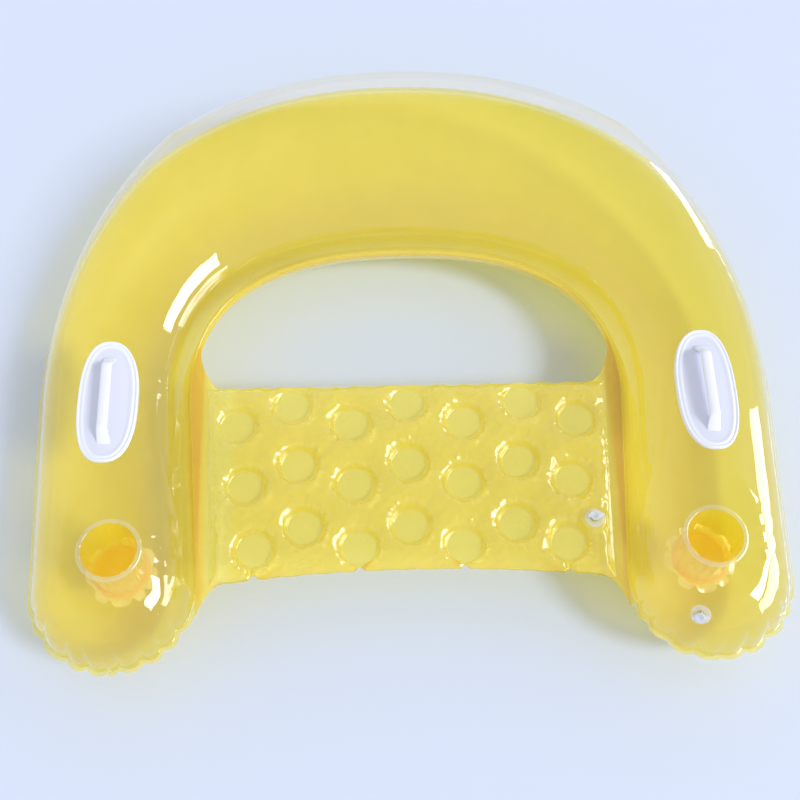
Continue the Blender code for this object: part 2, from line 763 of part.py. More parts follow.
def seat_valve_place():
    """Foot and direction of the seat's valve, square to the mat and on its highest part there."""
    reach = VALVE_BASE_RADIUS
    slope = (seat_height(SEAT_VALVE_Y + reach) - seat_height(SEAT_VALVE_Y - reach)) / (2 * reach)
    lean = Vector((0.0, -slope, 1.0)).normalized()
    build_mesh = seat_skin("seat_valve_rest", 1)
    skin = BVHTree.FromBMesh(build_mesh)
    build_mesh.free()
    above = Vector((seat_valve_x(), SEAT_VALVE_Y, seat_height(SEAT_VALVE_Y) + SEAT_BULGE + OVERRUN))
    levels = []
    for share in VALVE_REST_SHARES:
        for step in range(ROUND_SIDES):
            turn = 2 * math.pi * step / ROUND_SIDES
            start = above + Vector((math.cos(turn), math.sin(turn), 0.0)) * (share * reach)
            levels.append(lean.dot(skin.ray_cast(start, Vector((0.0, 0.0, -1.0)))[0]))
    foot = above.copy()
    foot.z = (max(levels) - lean.y * above.y) / lean.z
    return foot, lean


def main():
    clear_scene()
    chair = Chair()
    tube_upper = make_tube(chair)
    seat_upper = make_seat(chair)
    rest_block = tube_block(chair, "tube_rest_block", GAP)
    cup_rim_block = tube_block(chair, "cup_rim_block", GAP + CUP_RIM_THICKNESS)
    plate_block = tube_block(chair, "handle_plate_block", GAP + HANDLE_PLATE)
    handle_rim_block = tube_block(chair, "handle_rim_block", GAP + HANDLE_RIM_HEIGHT)
    foot_block = tube_block(chair, "handle_foot_block", GAP + HANDLE_PLATE + GAP)
    for side in (-1, 1):
        make_cup(chair, side, tube_upper, rest_block, cup_rim_block)
        make_handle(chair, side, rest_block, plate_block, handle_rim_block, foot_block)
    place, lean = tube_valve_place()
    make_valve(chair, "tube_valve", place, lean, tube_upper, rest_block,
               tube_block(chair, "tube_valve_block", GAP + VALVE_BASE))
    place, lean = seat_valve_place()
    make_valve(chair, "seat_valve", place, lean, seat_upper, seat_block(chair, "seat_rest_block", GAP),
               seat_block(chair, "seat_valve_block", GAP + VALVE_BASE))


main()
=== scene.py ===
"""Inflatable pool chair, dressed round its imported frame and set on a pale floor.

Metres, +Z up. Plan positions are written in the hips' frame, where y = 0 is the line at
which the straight arms turn into the arched back; HIP_SHIFT takes them to the frame.
"""
import json
import math
from collections import namedtuple
from contextlib import contextmanager

import bmesh
import bpy
import numpy as np
from mathutils import Matrix, Vector


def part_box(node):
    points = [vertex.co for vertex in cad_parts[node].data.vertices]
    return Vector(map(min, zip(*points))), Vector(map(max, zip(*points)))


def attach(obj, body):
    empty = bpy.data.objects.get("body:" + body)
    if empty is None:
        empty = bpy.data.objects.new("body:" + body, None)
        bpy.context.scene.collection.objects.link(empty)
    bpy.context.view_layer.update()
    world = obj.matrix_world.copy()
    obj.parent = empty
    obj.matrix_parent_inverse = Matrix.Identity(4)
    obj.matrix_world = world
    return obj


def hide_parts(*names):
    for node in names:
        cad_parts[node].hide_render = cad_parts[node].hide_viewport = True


bl_info = {
    "name": "Inflatable pool chair",
    "version": (1, 0, 0),
    "blender": (4, 5, 0),
    "location": "3D View > Sidebar > Pool chair",
    "description": "Dresses a pool chair's frame with air tube, quilted seat, cups, handles and valves",
    "category": "Object",
}

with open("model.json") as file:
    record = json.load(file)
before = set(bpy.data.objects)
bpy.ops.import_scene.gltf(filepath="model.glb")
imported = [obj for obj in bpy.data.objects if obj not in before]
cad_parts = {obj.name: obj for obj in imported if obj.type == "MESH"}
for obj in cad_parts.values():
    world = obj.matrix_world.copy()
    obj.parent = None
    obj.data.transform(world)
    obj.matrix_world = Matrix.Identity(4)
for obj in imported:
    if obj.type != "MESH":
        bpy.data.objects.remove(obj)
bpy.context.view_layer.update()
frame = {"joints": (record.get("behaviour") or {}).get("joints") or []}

# Air tube in plan, and its section
HALF_SPAN = 0.4655
ARM_TOE_IN = 0.0185
ARM_LENGTH = 0.320
ARCH_RISE = 0.425
ARCH_POWER = 2.24
ARM_END_RADIUS = 0.121
HIP_RADIUS = 0.116
BACK_RADIUS = 0.160
HEIGHT_SHARE = 0.93
SEAM_WIDTH = 0.007
SHEET_GAP = 0.0008
HIP_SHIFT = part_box("tube_upper_sheet")[1].y - ARCH_RISE - BACK_RADIUS - SEAM_WIDTH
CAP_STEPS = 60
ARM_STEPS = 80
ARCH_STEPS = 400
SECTION_STEPS = 56
FLANGE_STEPS = 3

# Puckers of the tube
LOBE_PITCH = 0.038
LOBE_SEED = 1.3
LOBE_START = 0.10
LOBE_FADE = 0.45
PUCKER_ANGLE_DEG = 24
FLUTTER_ANGLE_DEG = 14
BACK_PUCKER_PITCH = 0.030
BACK_PUCKER_SEED = 4.1
BACK_PUCKER_START = 0.02
BACK_PUCKER_FADE = 0.10
BACK_PUCKER_INNER_SHARE = 0.6
BACK_PUCKER_ANGLE_DEG = 11
UPPER_WAVES_PITCH = 0.21
LOWER_WAVES_PITCH = 0.17
LOWER_FLATTENING = 1.006

# Long crease along each arm's inner side: where it starts, how it leans, its ridge and its groove
ARM_CREASE_X = 0.396
ARM_CREASE_LEAN = 0.052
ARM_CREASE_LENGTH = 0.26
ARM_CREASE_REAR = -0.02
ARM_CREASE_FRONT = -0.36
ARM_RIDGE_WIDTH = 0.0042
ARM_GROOVE_OFFSET = 0.009
ARM_GROOVE_WIDTH = 0.005

# Cups
CUP_X = 0.4385
CUP_Y = -0.289
CUP_BORE_RADIUS = 0.040
CUP_DIMPLE = 0.014
CUP_DIMPLE_FLAT = 0.054
CUP_DIMPLE_RADIUS = 0.100
CUP_FOLDS = 14
CUP_FOLD_START = 0.046
CUP_FOLD_RISE = 0.014
CUP_FOLD_END = 0.098
CUP_FOLD_FALL = 0.030
CUP_BASE_RADIUS = 0.0440
CUP_MARGIN_RADIUS = 0.0545
CUP_TAPER = 0.0022
CUP_SLEEVE_CREASES = 17
CUP_SLEEVE_CREASE_DEPTH = 0.0011
CUP_SLEEVE_TOP = 0.002
CUP_BASE_TEETH = 19
CUP_MARGIN_PETALS = 9

# Radius and drop below the rim's top, from the bore outwards
CUP_RING_PROFILE = ((0.0405, 0.006), (0.0409, 0.0012), (0.0425, 0.0002), (0.0455, 0.0006), (0.0475, 0.0022),
                    (0.0480, 0.0036))

# Handles
HANDLE_X = 0.456
HANDLE_Y = -0.056
HANDLE_LENGTH = 0.203
HANDLE_WIDTH = 0.091
HANDLE_POWER = 2.5
HANDLE_STEPS = 128
BAR_RISE = 0.021
BAR_HALF_DEPTH = 0.0055
BAR_HALF_WIDTH = 0.00825
BAR_POWER = 2.1
BAR_SHOULDER = 0.050
BAR_FOOT = 0.072
BAR_FOOT_LIFT = 0.0015
BAR_FOOT_SPREAD = 0.25
BAR_FOOT_THINNING = 0.35
BAR_STATIONS = 72
BAR_SIDES = 28
# Where the painted shade of a handle's dish begins, inset from the plate's edge, and how far it fades in
DISH_SHADE_START = 0.0088
DISH_SHADE_FADE = 0.004
PLATE_LOOPS = 20
PLATE_SLOT_HALF_WIDTH = 0.01

# Inset from the plate's edge and height above the tube: rim, groove, lower ridge and dish
PLATE_PROFILE = (
    (0.0, 0.0006), (0.0002, 0.0036), (0.0008, 0.0055), (0.0018, 0.0064), (0.0028, 0.0063), (0.0038, 0.0052),
    (0.0046, 0.0040), (0.0056, 0.0037), (0.0066, 0.0041), (0.0078, 0.0047), (0.0090, 0.0045),
    (0.0105, 0.0034), (0.0125, 0.0023), (0.0150, 0.0018), (0.022, 0.0017), (0.030, 0.0017), (0.038, 0.0017),
    (0.0450, 0.0017))

# Seat mat
PAD_REAR_HALF_WIDTH = 0.322
PAD_FRONT_HALF_WIDTH = 0.306
PAD_REAR_Y = 0.0147
PAD_FRONT_Y = -0.2973
PAD_FRONT_BOW = 0.020
WEB_REAR_REACH = 0.095
WEB_FRONT_REACH = 0.046
WEB_START_SHARE = 0.86
SPOT_RADIUS = 0.027
SPOT_PITCH_X = 0.0915
SPOT_NARROWING_SHARE = 0.055
SPOT_PITCH_Y = 0.104
SPOT_STAGGER = 0.034
SPOT_FIRST_Y = -0.020
SPOT_COLUMNS = 7
SPOT_ROWS = 3
SEAT_RISE = 0.0016
SEAT_STEPS_X = 380
SEAT_STEPS_Y = 210
MAT_SHARE = 0.93
MARGIN_SHARE = 0.07
EDGE_CLEARANCE = 0.0012
BORDER_SWELL_REACH = 0.016
SPOT_SWELL_REACH = 0.0095
SPOT_EDGE = 0.003
PLEAT_DEPTH = 0.007
PLEAT_WIDTH = 0.0052
HEM_RISE = 0.0015
HEM_PITCH = 0.021
HEM_REACH = 0.006
SIDE_WELD_WIDTH = 0.012
SIDE_WELD_DROP = 0.0016
SIDE_WELD_COLUMNS = 5

# Puckers round each weld of the mat: how many, how far out, and their share of the fold's height
RAY_COUNT, RAY_REACH = 5.5, 0.013
COMB_COUNT, COMB_REACH, COMB_SHARE = 13.5, 0.009, 0.9
PINCH_COUNT, PINCH_RING, PINCH_WIDTH, PINCH_SHARE = 16, 0.0105, 0.0032, 2.4
TUCK_COUNT, TUCK_RING, TUCK_WIDTH, TUCK_SHARE = 4.0, 0.012, 0.009, 0.5

# Valves, along their own axis
VALVE_LEVEL_REACH = 0.025
VALVE_LEVEL_BLEND = 0.009
VALVE_LEVEL_DEPTH = 0.03
VALVE_FILM_LEVEL = 0.0002
STEM_RADIUS = 0.0055
STEM_BORE = 0.0038
STEM_DEPTH = 0.010
LIP_TOP = 0.0113
LIP_RADIUS = 0.0075
LIP_THICKNESS = 0.002
LIP_LOW = LIP_TOP - LIP_THICKNESS
HINGE_OFFSET = 0.0105
KNUCKLE_RADIUS = 0.001
STRAP_WIDTH = 0.005
EAR_END = HINGE_OFFSET + KNUCKLE_RADIUS
CAP_GAP = 0.0003
CAP_LOW = LIP_TOP + CAP_GAP
CAP_RADIUS = 0.0078
CAP_HEIGHT = 0.002
SMALL_ROUND = 0.0004
VALVE_STEPS = 48

# Radius and height of each turned piece
DISC_PROFILE = ((0.0062, 0.0004), (0.0062, 0.0007), (0.0070, 0.0010), (0.0120, 0.0010), (0.0144, 0.0008),
                (0.0150, 0.0003))
STEM_PROFILE = (
    (STEM_BORE, -STEM_DEPTH), (STEM_RADIUS - SMALL_ROUND, -STEM_DEPTH),
    (STEM_RADIUS, -STEM_DEPTH + SMALL_ROUND),
    (STEM_RADIUS, LIP_TOP - 0.0026), (STEM_RADIUS + 0.0006, LIP_LOW), (LIP_RADIUS - SMALL_ROUND, LIP_LOW),
    (LIP_RADIUS, LIP_TOP - 0.0015), (LIP_RADIUS, LIP_TOP - SMALL_ROUND), (LIP_RADIUS - SMALL_ROUND, LIP_TOP),
    (STEM_BORE + 0.0003, LIP_TOP), (STEM_BORE, LIP_TOP - 0.0003))
CAP_PROFILE = (
    (0.0, CAP_LOW - 0.0045), (0.0020, CAP_LOW - 0.0045), (0.0024, CAP_LOW - 0.0041), (0.0032, CAP_LOW),
    (CAP_RADIUS - 0.0003, CAP_LOW), (CAP_RADIUS, CAP_LOW + 0.0003), (CAP_RADIUS, CAP_LOW + 0.0015),
    (CAP_RADIUS - 0.0005, CAP_LOW + CAP_HEIGHT), (0.0035, CAP_LOW + CAP_HEIGHT), (0.0030, CAP_LOW + 0.0016),
    (0.0, CAP_LOW + 0.0015))
FLAP_PROFILE = ((0.0, -0.0108), (0.0046, -0.0108), (0.0050, -0.0106), (0.0050, -0.0104), (0.0, -0.0104))

# Centre and size of each rounded block: the stem's ear, and the cap's strap, knuckle, tab and tab's lug
EAR_BLOCKS = (((-(STEM_RADIUS + EAR_END) / 2, 0.0, LIP_TOP - LIP_THICKNESS / 2),
               (EAR_END - STEM_RADIUS, STRAP_WIDTH, LIP_THICKNESS - 0.0002)),)
CAP_BLOCKS = (
    ((-0.0082, 0.0, CAP_LOW + 0.0010), (0.0050, STRAP_WIDTH, 0.0011)),
    ((-HINGE_OFFSET, 0.0, CAP_LOW + KNUCKLE_RADIUS), (2 * KNUCKLE_RADIUS, STRAP_WIDTH, 2 * KNUCKLE_RADIUS)),
    ((0.0105, 0.0, CAP_LOW + 0.0010), (0.0062, 0.0060, 0.0011)),
    ((0.0128, 0.0, CAP_LOW + 0.0013), (0.0012, 0.0046, 0.0012)))

# Piece, the node that it stands for, its profile and its blocks
VALVE_PIECES = (
    ("weld_disc", "base", DISC_PROFILE, ()),
    ("neck", "stem", STEM_PROFILE, EAR_BLOCKS),
    ("stopper", "cap", CAP_PROFILE, CAP_BLOCKS),
    ("check_flap", "flap", FLAP_PROFILE, ()),
)

# Camera, fitted to the photograph's outline
IMAGE_SIDE_PX = 800
FOCAL_PX = 1250
SENSOR_MM = 36
CAMERA_TURN_DEG = -3.0
CAMERA_RISE_DEG = 64.3
CAMERA_ROLL_DEG = 1.5
CAMERA_DISTANCE = 2.003
CAMERA_AIM = (-0.011, -0.0165, 0.12)

# Bright cards that only the gloss shows: place, size and radiance
LAMP_AIM = (0.0, -0.48, 0.15)
LAMPS = (
    ("window", (3.69, -0.81, 1.98), (3.43, 1.30), 13.0),
    ("side_card", (1.42, -0.44, 0.275), (1.34, 0.34), 6.5),
    ("rear_card", (8.1, 6.6, 1.4), (1.8, 2.4), 7.0),
)

# Key light, and the world's brightness towards the walls and overhead
KEY_FROM = (3.4, -2.2, 4.2)
KEY_STRENGTH = 1.66
KEY_SPREAD_DEG = 13.0
KEY_COLOUR = (1.0, 0.985, 0.96)
ROOM_LOW = (0.92, 0.94, 0.98)
ROOM_HIGH = (0.62, 0.63, 0.65)
ROOM_TURN = (0.45, 0.92)
FLOOR_HALF_SIDE = 12.0
FLOOR_DROP = 0.0008

SIDES = ((-1, "left"), (1, "right"))


# Shared making


def smooth_step(value):
    share = np.clip(value, 0.0, 1.0)
    return share * share * (3.0 - 2.0 * share)


def wobble(distance, pitch, seed):
    """Distance counted in pitches, stretched and squeezed a little so that nothing repeats evenly."""
    count = distance / pitch
    return count + 0.14 * np.sin(1.31 * count + seed) + 0.07 * np.sin(2.9 * count + 2.3 * seed)


def lobes(distance, pitch, seed):
    """Row of rounded lobes from 0 in the creases between them to 1 on their crowns."""
    return np.abs(np.sin(math.pi * wobble(distance, pitch, seed))) ** 0.6


def teeth_round(bearing, count, seed):
    """Uneven row of notches round a circle, from 0 between them to 1 in their depth."""
    uneven = count * bearing + 1.1 * np.sin(2 * bearing + seed) + 0.7 * np.sin(5 * bearing + 2 * seed)
    return np.maximum(np.sin(uneven), 0.0) ** 2


def swells(x, y, pitch, seed):
    """Slow uneven waves over a plan position, from -1 to 1."""
    k = 2 * math.pi / pitch
    return (np.sin(k * (0.83 * x + 0.55 * y) + seed) + np.sin(k * (0.94 * y - 0.38 * x) * 1.37 + 2.1 * seed)
            + np.sin(k * (1.13 * x - 0.21 * y) * 0.71 + 3.7 * seed)) / 3


def along_curve(points):
    """Distance run along a line of plan points."""
    steps = np.linalg.norm(np.diff(points, axis=0), axis=1)
    return np.concatenate(([0.0], np.cumsum(steps)))


def finish_piece(name, mesh, material, body, nodes=()):
    """Object at the origin that rides on a body and stands for the frame's nodes."""
    mesh.materials.append(material)
    mesh.shade_smooth()
    piece = bpy.data.objects.new(name, mesh)
    bpy.context.scene.collection.objects.link(piece)
    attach(piece, body)
    if nodes:
        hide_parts(*nodes)
    return piece


@contextmanager
def opened(mesh):
    """The mesh open for bmesh's operators, and written back after them."""
    build = bmesh.new()
    build.from_mesh(mesh)
    yield build
    build.to_mesh(mesh)
    build.free()


def mesh_points(mesh):
    flat = np.zeros(len(mesh.vertices) * 3)
    mesh.vertices.foreach_get("co", flat)
    return flat.reshape(-1, 3)


def put_points(mesh, points):
    mesh.vertices.foreach_set("co", points.astype(np.float32).ravel())
    mesh.update()
    return mesh


def put_paint(mesh, label, values):
    """Number at each point, which the piece's finish reads by its name."""
    layer = mesh.attributes.new(label, "FLOAT", "POINT")
    layer.data.foreach_set("value", values.astype(np.float32))


def grid_mesh(name, columns, rows, place, drop=None, paints=None):
    """Grid whose points go where place puts them, given every point's column and row."""
    mesh = bpy.data.meshes.new(name)
    with opened(mesh) as build:
        build.loops.layers.uv.new("surface")
        bmesh.ops.create_grid(build, x_segments=columns - 1, y_segments=rows - 1, size=1.0, calc_uvs=True)
    flat = mesh_points(mesh)
    column = np.rint((flat[:, 0] + 1.0) / 2.0 * (columns - 1)).astype(int)
    row = np.rint((flat[:, 1] + 1.0) / 2.0 * (rows - 1)).astype(int)
    points = place(column, row)
    if drop is not None:
        points, gone = drop(points)
    put_points(mesh, points)
    for label, paint in (paints or {}).items():
        put_paint(mesh, label, paint(column, row))
    with opened(mesh) as build:
        if drop is not None:
            hidden = [face for face in build.faces if all(gone[vert.index] for vert in face.verts)]
            bmesh.ops.delete(build, geom=hidden, context="FACES")
        bmesh.ops.remove_doubles(build, verts=build.verts, dist=1e-5)
        bmesh.ops.recalc_face_normals(build, faces=build.faces)
    return mesh


def face_mesh(mesh, upwards):
    """Turns a sheet's faces over if, all told, they look the other way."""
    with opened(mesh) as build:
        facing = sum(face.normal.z * face.calc_area() for face in build.faces)
        if (facing > 0) != upwards:
            bmesh.ops.reverse_faces(build, faces=build.faces)
    return mesh


def turned_mesh(name, profile, steps, closed=False):
    """Profile of radius and height, turned about Z."""
    mesh = bpy.data.meshes.new(name)
    with opened(mesh) as build:
        ring = [build.verts.new((radius, 0.0, height)) for radius, height in profile]
        pairs = list(zip(ring, ring[1:]))
        if closed:
            pairs.append((ring[-1], ring[0]))
        edges = [build.edges.new(pair) for pair in pairs]
        bmesh.ops.spin(build, geom=ring + edges, cent=(0.0, 0.0, 0.0), axis=(0.0, 0.0, 1.0),
                       angle=2 * math.pi, steps=steps, use_merge=True)
        bmesh.ops.remove_doubles(build, verts=build.verts, dist=1e-6)
        bmesh.ops.recalc_face_normals(build, faces=build.faces)
    return mesh


def add_blocks(mesh, blocks):
    """Rounded blocks joined to the mesh, each by its centre and size."""
    with opened(mesh) as build:
        for centre, size in blocks:
            placed = Matrix.Translation(centre) @ Matrix.Diagonal((*size, 1.0))
            made = bmesh.ops.create_cube(build, size=1.0, matrix=placed)
            edges = list({edge for vert in made["verts"] for edge in vert.link_edges})
            bmesh.ops.bevel(build, geom=edges, offset=SMALL_ROUND, segments=3, affect="EDGES", profile=0.5,
                            material=-1)


def around(points):
    """Distance and bearing of each point from the Z axis."""
    return np.hypot(points[:, 0], points[:, 1]), np.arctan2(points[:, 1], points[:, 0])


# Tube form


def tube_radius(y):
    arm = HIP_RADIUS + (ARM_END_RADIUS - HIP_RADIUS) * np.clip(-y / ARM_LENGTH, 0.0, 1.0)
    back = HIP_RADIUS + (BACK_RADIUS - HIP_RADIUS) * np.clip(y / ARCH_RISE, 0.0, 1.0) ** ARCH_POWER
    return np.where(y <= 0, arm, back)


def seam_height(y):
    return HEIGHT_SHARE * tube_radius(y)


def arm_x(y):
    return HALF_SPAN - ARM_TOE_IN * np.clip(-y / ARM_LENGTH, 0.0, 1.0)


def power_of(unit, power):
    return np.sign(unit) * np.abs(unit) ** (2.0 / power)


def tube_line():
    """Centres, outer and inner directions, radii and how far each station is round an arm's end."""
    turn = np.radians(90) * (1.0 - np.arange(CAP_STEPS) / CAP_STEPS)
    zero = np.zeros(CAP_STEPS)
    cap_centre = np.stack((zero + arm_x(-ARM_LENGTH), zero - ARM_LENGTH), axis=1)
    cap_outer = np.stack((np.cos(turn), -np.sin(turn)), axis=1)
    cap_inner = np.stack((-np.cos(turn), -np.sin(turn)), axis=1)
    y = -ARM_LENGTH * (1.0 - np.arange(ARM_STEPS) / ARM_STEPS)
    arm_centre = np.stack((arm_x(y), y), axis=1)
    arm_outer = np.tile((1.0, 0.0), (ARM_STEPS, 1))
    centre = np.concatenate((cap_centre, arm_centre))
    outer = np.concatenate((cap_outer, arm_outer))
    inner = np.concatenate((cap_inner, -arm_outer))
    sweep = math.pi * np.arange(ARCH_STEPS + 1) / ARCH_STEPS
    across, along = np.cos(sweep), np.sin(sweep)
    arch_x, arch_y = HALF_SPAN * power_of(across, ARCH_POWER), ARCH_RISE * power_of(along, ARCH_POWER)
    arch_centre = np.stack((arch_x, arch_y), axis=1)
    lean = 2.0 - 2.0 / ARCH_POWER
    out_x, out_y = np.sign(across) * np.abs(across) ** lean / HALF_SPAN, np.abs(along) ** lean / ARCH_RISE
    arch_outer = np.stack((out_x, out_y), axis=1)
    arch_outer /= np.linalg.norm(arch_outer, axis=1)[:, None]
    flip = np.array((-1.0, 1.0))
    centre = np.concatenate((centre, arch_centre, centre[::-1] * flip))
    outer = np.concatenate((outer, arch_outer, outer[::-1] * flip))
    inner = np.concatenate((inner, -arch_outer, inner[::-1] * flip))
    round_end = np.concatenate((np.sin(turn), np.zeros(ARM_STEPS)))
    round_end = np.concatenate((round_end, np.zeros(ARCH_STEPS + 1), round_end[::-1]))
    return centre, outer, inner, tube_radius(centre[:, 1]), round_end


def section_rows():
    """Angle from the inner seam over to the outer seam, and how far out on the flange each row is."""
    bow = np.linspace(0.0, 1.0, SECTION_STEPS + 1)
    angle = math.pi * (bow - 0.035 * np.sin(2 * math.pi * bow))
    flange = np.linspace(0.0, SEAM_WIDTH, FLANGE_STEPS + 1)[1:]
    angles = np.concatenate((np.zeros(FLANGE_STEPS), angle, np.full(FLANGE_STEPS, math.pi)))
    extras = np.concatenate((flange[::-1], np.zeros(SECTION_STEPS + 1), flange))
    return angles, extras


CENTRE, OUTER, INNER, RADIUS, ROUND_END = tube_line()
ANGLES, EXTRAS = section_rows()
OUTER_RUN = along_curve(CENTRE + OUTER * RADIUS[:, None])
INNER_RUN = along_curve(CENTRE + INNER * RADIUS[:, None])


def cup_distance(x, y):
    return np.hypot(np.abs(x) - CUP_X, y - CUP_Y)


def cup_rim_height():
    return float(2 * seam_height(CUP_Y) - CUP_DIMPLE)


def seam_place(column, row):
    """Whether the outer seam is nearer, the run along it, the angle up from it, and the end lobes' share."""
    on_outer = ANGLES[row] > math.pi / 2
    run = np.where(on_outer, OUTER_RUN[column], INNER_RUN[column])
    climb = np.where(on_outer, math.pi - ANGLES[row], ANGLES[row])
    return on_outer, run, climb, smooth_step((ROUND_END[column] - LOBE_START) / LOBE_FADE)


def near_seam(climb, reach_deg):
    """Share from 1 on a seam to almost nothing at twice reach_deg above it."""
    return np.exp(-(climb / math.radians(reach_deg)) ** 2)


def pucker(column, row, sizes):
    """How far each point of the tube is drawn in by the creases that start at the seams."""
    on_outer, run, climb, end_share = seam_place(column, row)
    at_end = sizes.lobe_depth * end_share * (1.0 - lobes(run, LOBE_PITCH, LOBE_SEED))
    arch = smooth_step((CENTRE[column, 1] - BACK_PUCKER_START) / BACK_PUCKER_FADE)
    faint = np.where(on_outer, sizes.back_pucker, BACK_PUCKER_INNER_SHARE * sizes.back_pucker) * arch
    at_back = faint * (1.0 - lobes(run, BACK_PUCKER_PITCH, BACK_PUCKER_SEED))
    return near_seam(climb, PUCKER_ANGLE_DEG) * at_end + at_back * near_seam(climb, BACK_PUCKER_ANGLE_DEG)


def seam_flutter(column, row, sizes):
    """Up and down of the welded edge where it is gathered round an arm's end."""
    _, run, climb, end_share = seam_place(column, row)
    wave = np.sin(math.pi * wobble(run, LOBE_PITCH, LOBE_SEED))
    return end_share * sizes.seam_flutter * wave * near_seam(climb, FLUTTER_ANGLE_DEG)


def tube_plan(column, row, draw):
    """Plan points for stations and rows, with the radius changed by draw."""
    angle = ANGLES[row]
    reach = np.abs(np.cos(angle)) * (RADIUS[column] + draw) + EXTRAS[row]
    side = np.where((angle > math.pi / 2)[:, None], OUTER[column], INNER[column])
    return CENTRE[column] + side * reach[:, None]


def valve_frame(label):
    """Matrix of a valve's own axes, read from its joints."""
    joints = {joint["name"]: joint for joint in frame["joints"]}
    up = -Vector(joints[label + "_push"]["axis"]).normalized()
    hinge = joints[label + "_cap_hinge"]
    side = -Vector(hinge["axis"]).normalized()
    ahead = side.cross(up)
    placed = Matrix((ahead, side, up)).transposed().to_4x4()
    placed.translation = Vector(hinge["pos_m"]) + ahead * HINGE_OFFSET - up * (CAP_LOW + KNUCKLE_RADIUS)
    return placed


def level_under(points, label):
    """Brings a film level under a valve's weld disc."""
    placed = np.array(valve_frame(label))
    local = (points - placed[:3, 3]) @ placed[:3, :3]
    off = np.hypot(local[:, 0], local[:, 1])
    near = np.abs(local[:, 2]) < VALVE_LEVEL_DEPTH
    share = smooth_step((VALVE_LEVEL_REACH - off) / VALVE_LEVEL_BLEND) * near
    return points - placed[:3, 2] * ((local[:, 2] - VALVE_FILM_LEVEL) * share)[:, None]


def arm_crease(x, y):
    """Long crease that leans from the arm's crown down to its inner side beside the cup."""
    share = smooth_step((ARM_CREASE_REAR - y) / ARM_CREASE_LENGTH)
    off = np.abs(x) - (ARM_CREASE_X - ARM_CREASE_LEAN * share) - 0.004 * np.sin(31.0 * y)
    along = smooth_step((-0.01 - y) / 0.06) * smooth_step((y - ARM_CREASE_FRONT) / 0.05)
    groove = np.exp(-((off - ARM_GROOVE_OFFSET) / ARM_GROOVE_WIDTH) ** 2)
    return along * (np.exp(-(off / ARM_RIDGE_WIDTH) ** 2) - 0.8 * groove)


def cup_creases(distance, bearing):
    """Folds that run out from each cup, from -1 to 1."""
    fold = np.sin(CUP_FOLDS * bearing + 1.1 * np.sin(3 * bearing) + 0.8)
    rising = smooth_step((distance - CUP_FOLD_START) / CUP_FOLD_RISE)
    return fold * rising * smooth_step((CUP_FOLD_END - distance) / CUP_FOLD_FALL)


def upper_points(column, row, sizes):
    drawn = pucker(column, row, sizes)
    x, y = tube_plan(column, row, -drawn).T
    half = seam_height(y)
    over = np.sin(ANGLES[row])
    soft = sizes.film_waves * swells(x, y, UPPER_WAVES_PITCH, 0.7) * over
    height = half + SHEET_GAP + over * (half - drawn + soft)
    distance = cup_distance(x, y)
    pull = smooth_step((CUP_DIMPLE_RADIUS - distance) / (CUP_DIMPLE_RADIUS - CUP_DIMPLE_FLAT))
    bearing = np.arctan2(y - CUP_Y, np.abs(x) - CUP_X)
    sunk = pull * (np.minimum(cup_rim_height() + SHEET_GAP, height) - height)
    height += sunk + sizes.cup_fold * cup_creases(distance, bearing)
    height += sizes.arm_crease * arm_crease(x, y) * over
    height += seam_flutter(column, row, sizes)
    return level_under(np.stack((x, y + HIP_SHIFT, height), axis=1), "tube_valve")


def lower_points(column, row, sizes):
    drawn = pucker(column, row, sizes)
    x, y = tube_plan(column, row, -drawn).T
    half = seam_height(y)
    soft = sizes.film_waves * swells(x, y, LOWER_WAVES_PITCH, 2.9) * np.sin(ANGLES[row])
    height = half - LOWER_FLATTENING * np.sin(ANGLES[row]) * (half - drawn + soft)
    height += seam_flutter(column, row, sizes)
    return np.stack((x, y + HIP_SHIFT, np.maximum(height, 0.0)), axis=1)


def bare_weld(column, row):
    """Outer welded edge, where the yellow film is pressed thin."""
    edge = math.radians(5)
    outwards = smooth_step((ANGLES[row] - math.radians(175)) / edge)
    inwards = smooth_step((edge - ANGLES[row]) / edge) * smooth_step(ROUND_END[column] / 0.25)
    return np.maximum(outwards, inwards)


def deep_inside(column, row):
    """Painted shade: the tube's inner side beside the mat, tinted a deeper orange where the crevice lies in
    shade.
    """
    y = CENTRE[column, 1]
    beside = smooth_step((y + ARM_LENGTH) / 0.05) * smooth_step((0.16 - y) / 0.06)
    return beside * smooth_step((math.radians(58) - ANGLES[row]) / math.radians(40))


def cup_hole(points):
    """Opens the round hole under each cup's rim: points inside it move out to its edge."""
    bore = CUP_BORE_RADIUS + SHEET_GAP
    side = np.sign(points[:, 0])
    middle = np.stack((side * CUP_X, np.full(len(points), CUP_Y + HIP_SHIFT)), axis=1)
    away = points[:, :2] - middle
    distance = np.maximum(np.linalg.norm(away, axis=1), 1e-9)
    inside = (distance < bore) & (points[:, 2] > cup_rim_height() - 0.02)
    edge = middle + away / distance[:, None] * bore
    moved = points.copy()
    moved[inside, :2] = edge[inside]
    return moved, inside


# Seat form


def edge_table():
    """Half-width between the tube's inner sides against the plan position along the chair."""
    inner = CENTRE + INNER * RADIUS[:, None]
    right = slice(CAP_STEPS, CAP_STEPS + ARM_STEPS + ARCH_STEPS // 2)
    order = np.argsort(inner[right, 1])
    return inner[right, 1][order], inner[right, 0][order]


EDGE_Y, EDGE_X = edge_table()


def inner_edge_x(y):
    return np.interp(y, EDGE_Y, EDGE_X)


def web_share(across):
    reach = np.maximum(np.abs(across) - WEB_START_SHARE, 0.0) / (1.0 - WEB_START_SHARE)
    return reach * reach


def pad_half_width(y):
    share = np.clip((PAD_REAR_Y - y) / (PAD_REAR_Y - PAD_FRONT_Y), 0.0, 1.0)
    return PAD_REAR_HALF_WIDTH + (PAD_FRONT_HALF_WIDTH - PAD_REAR_HALF_WIDTH) * share


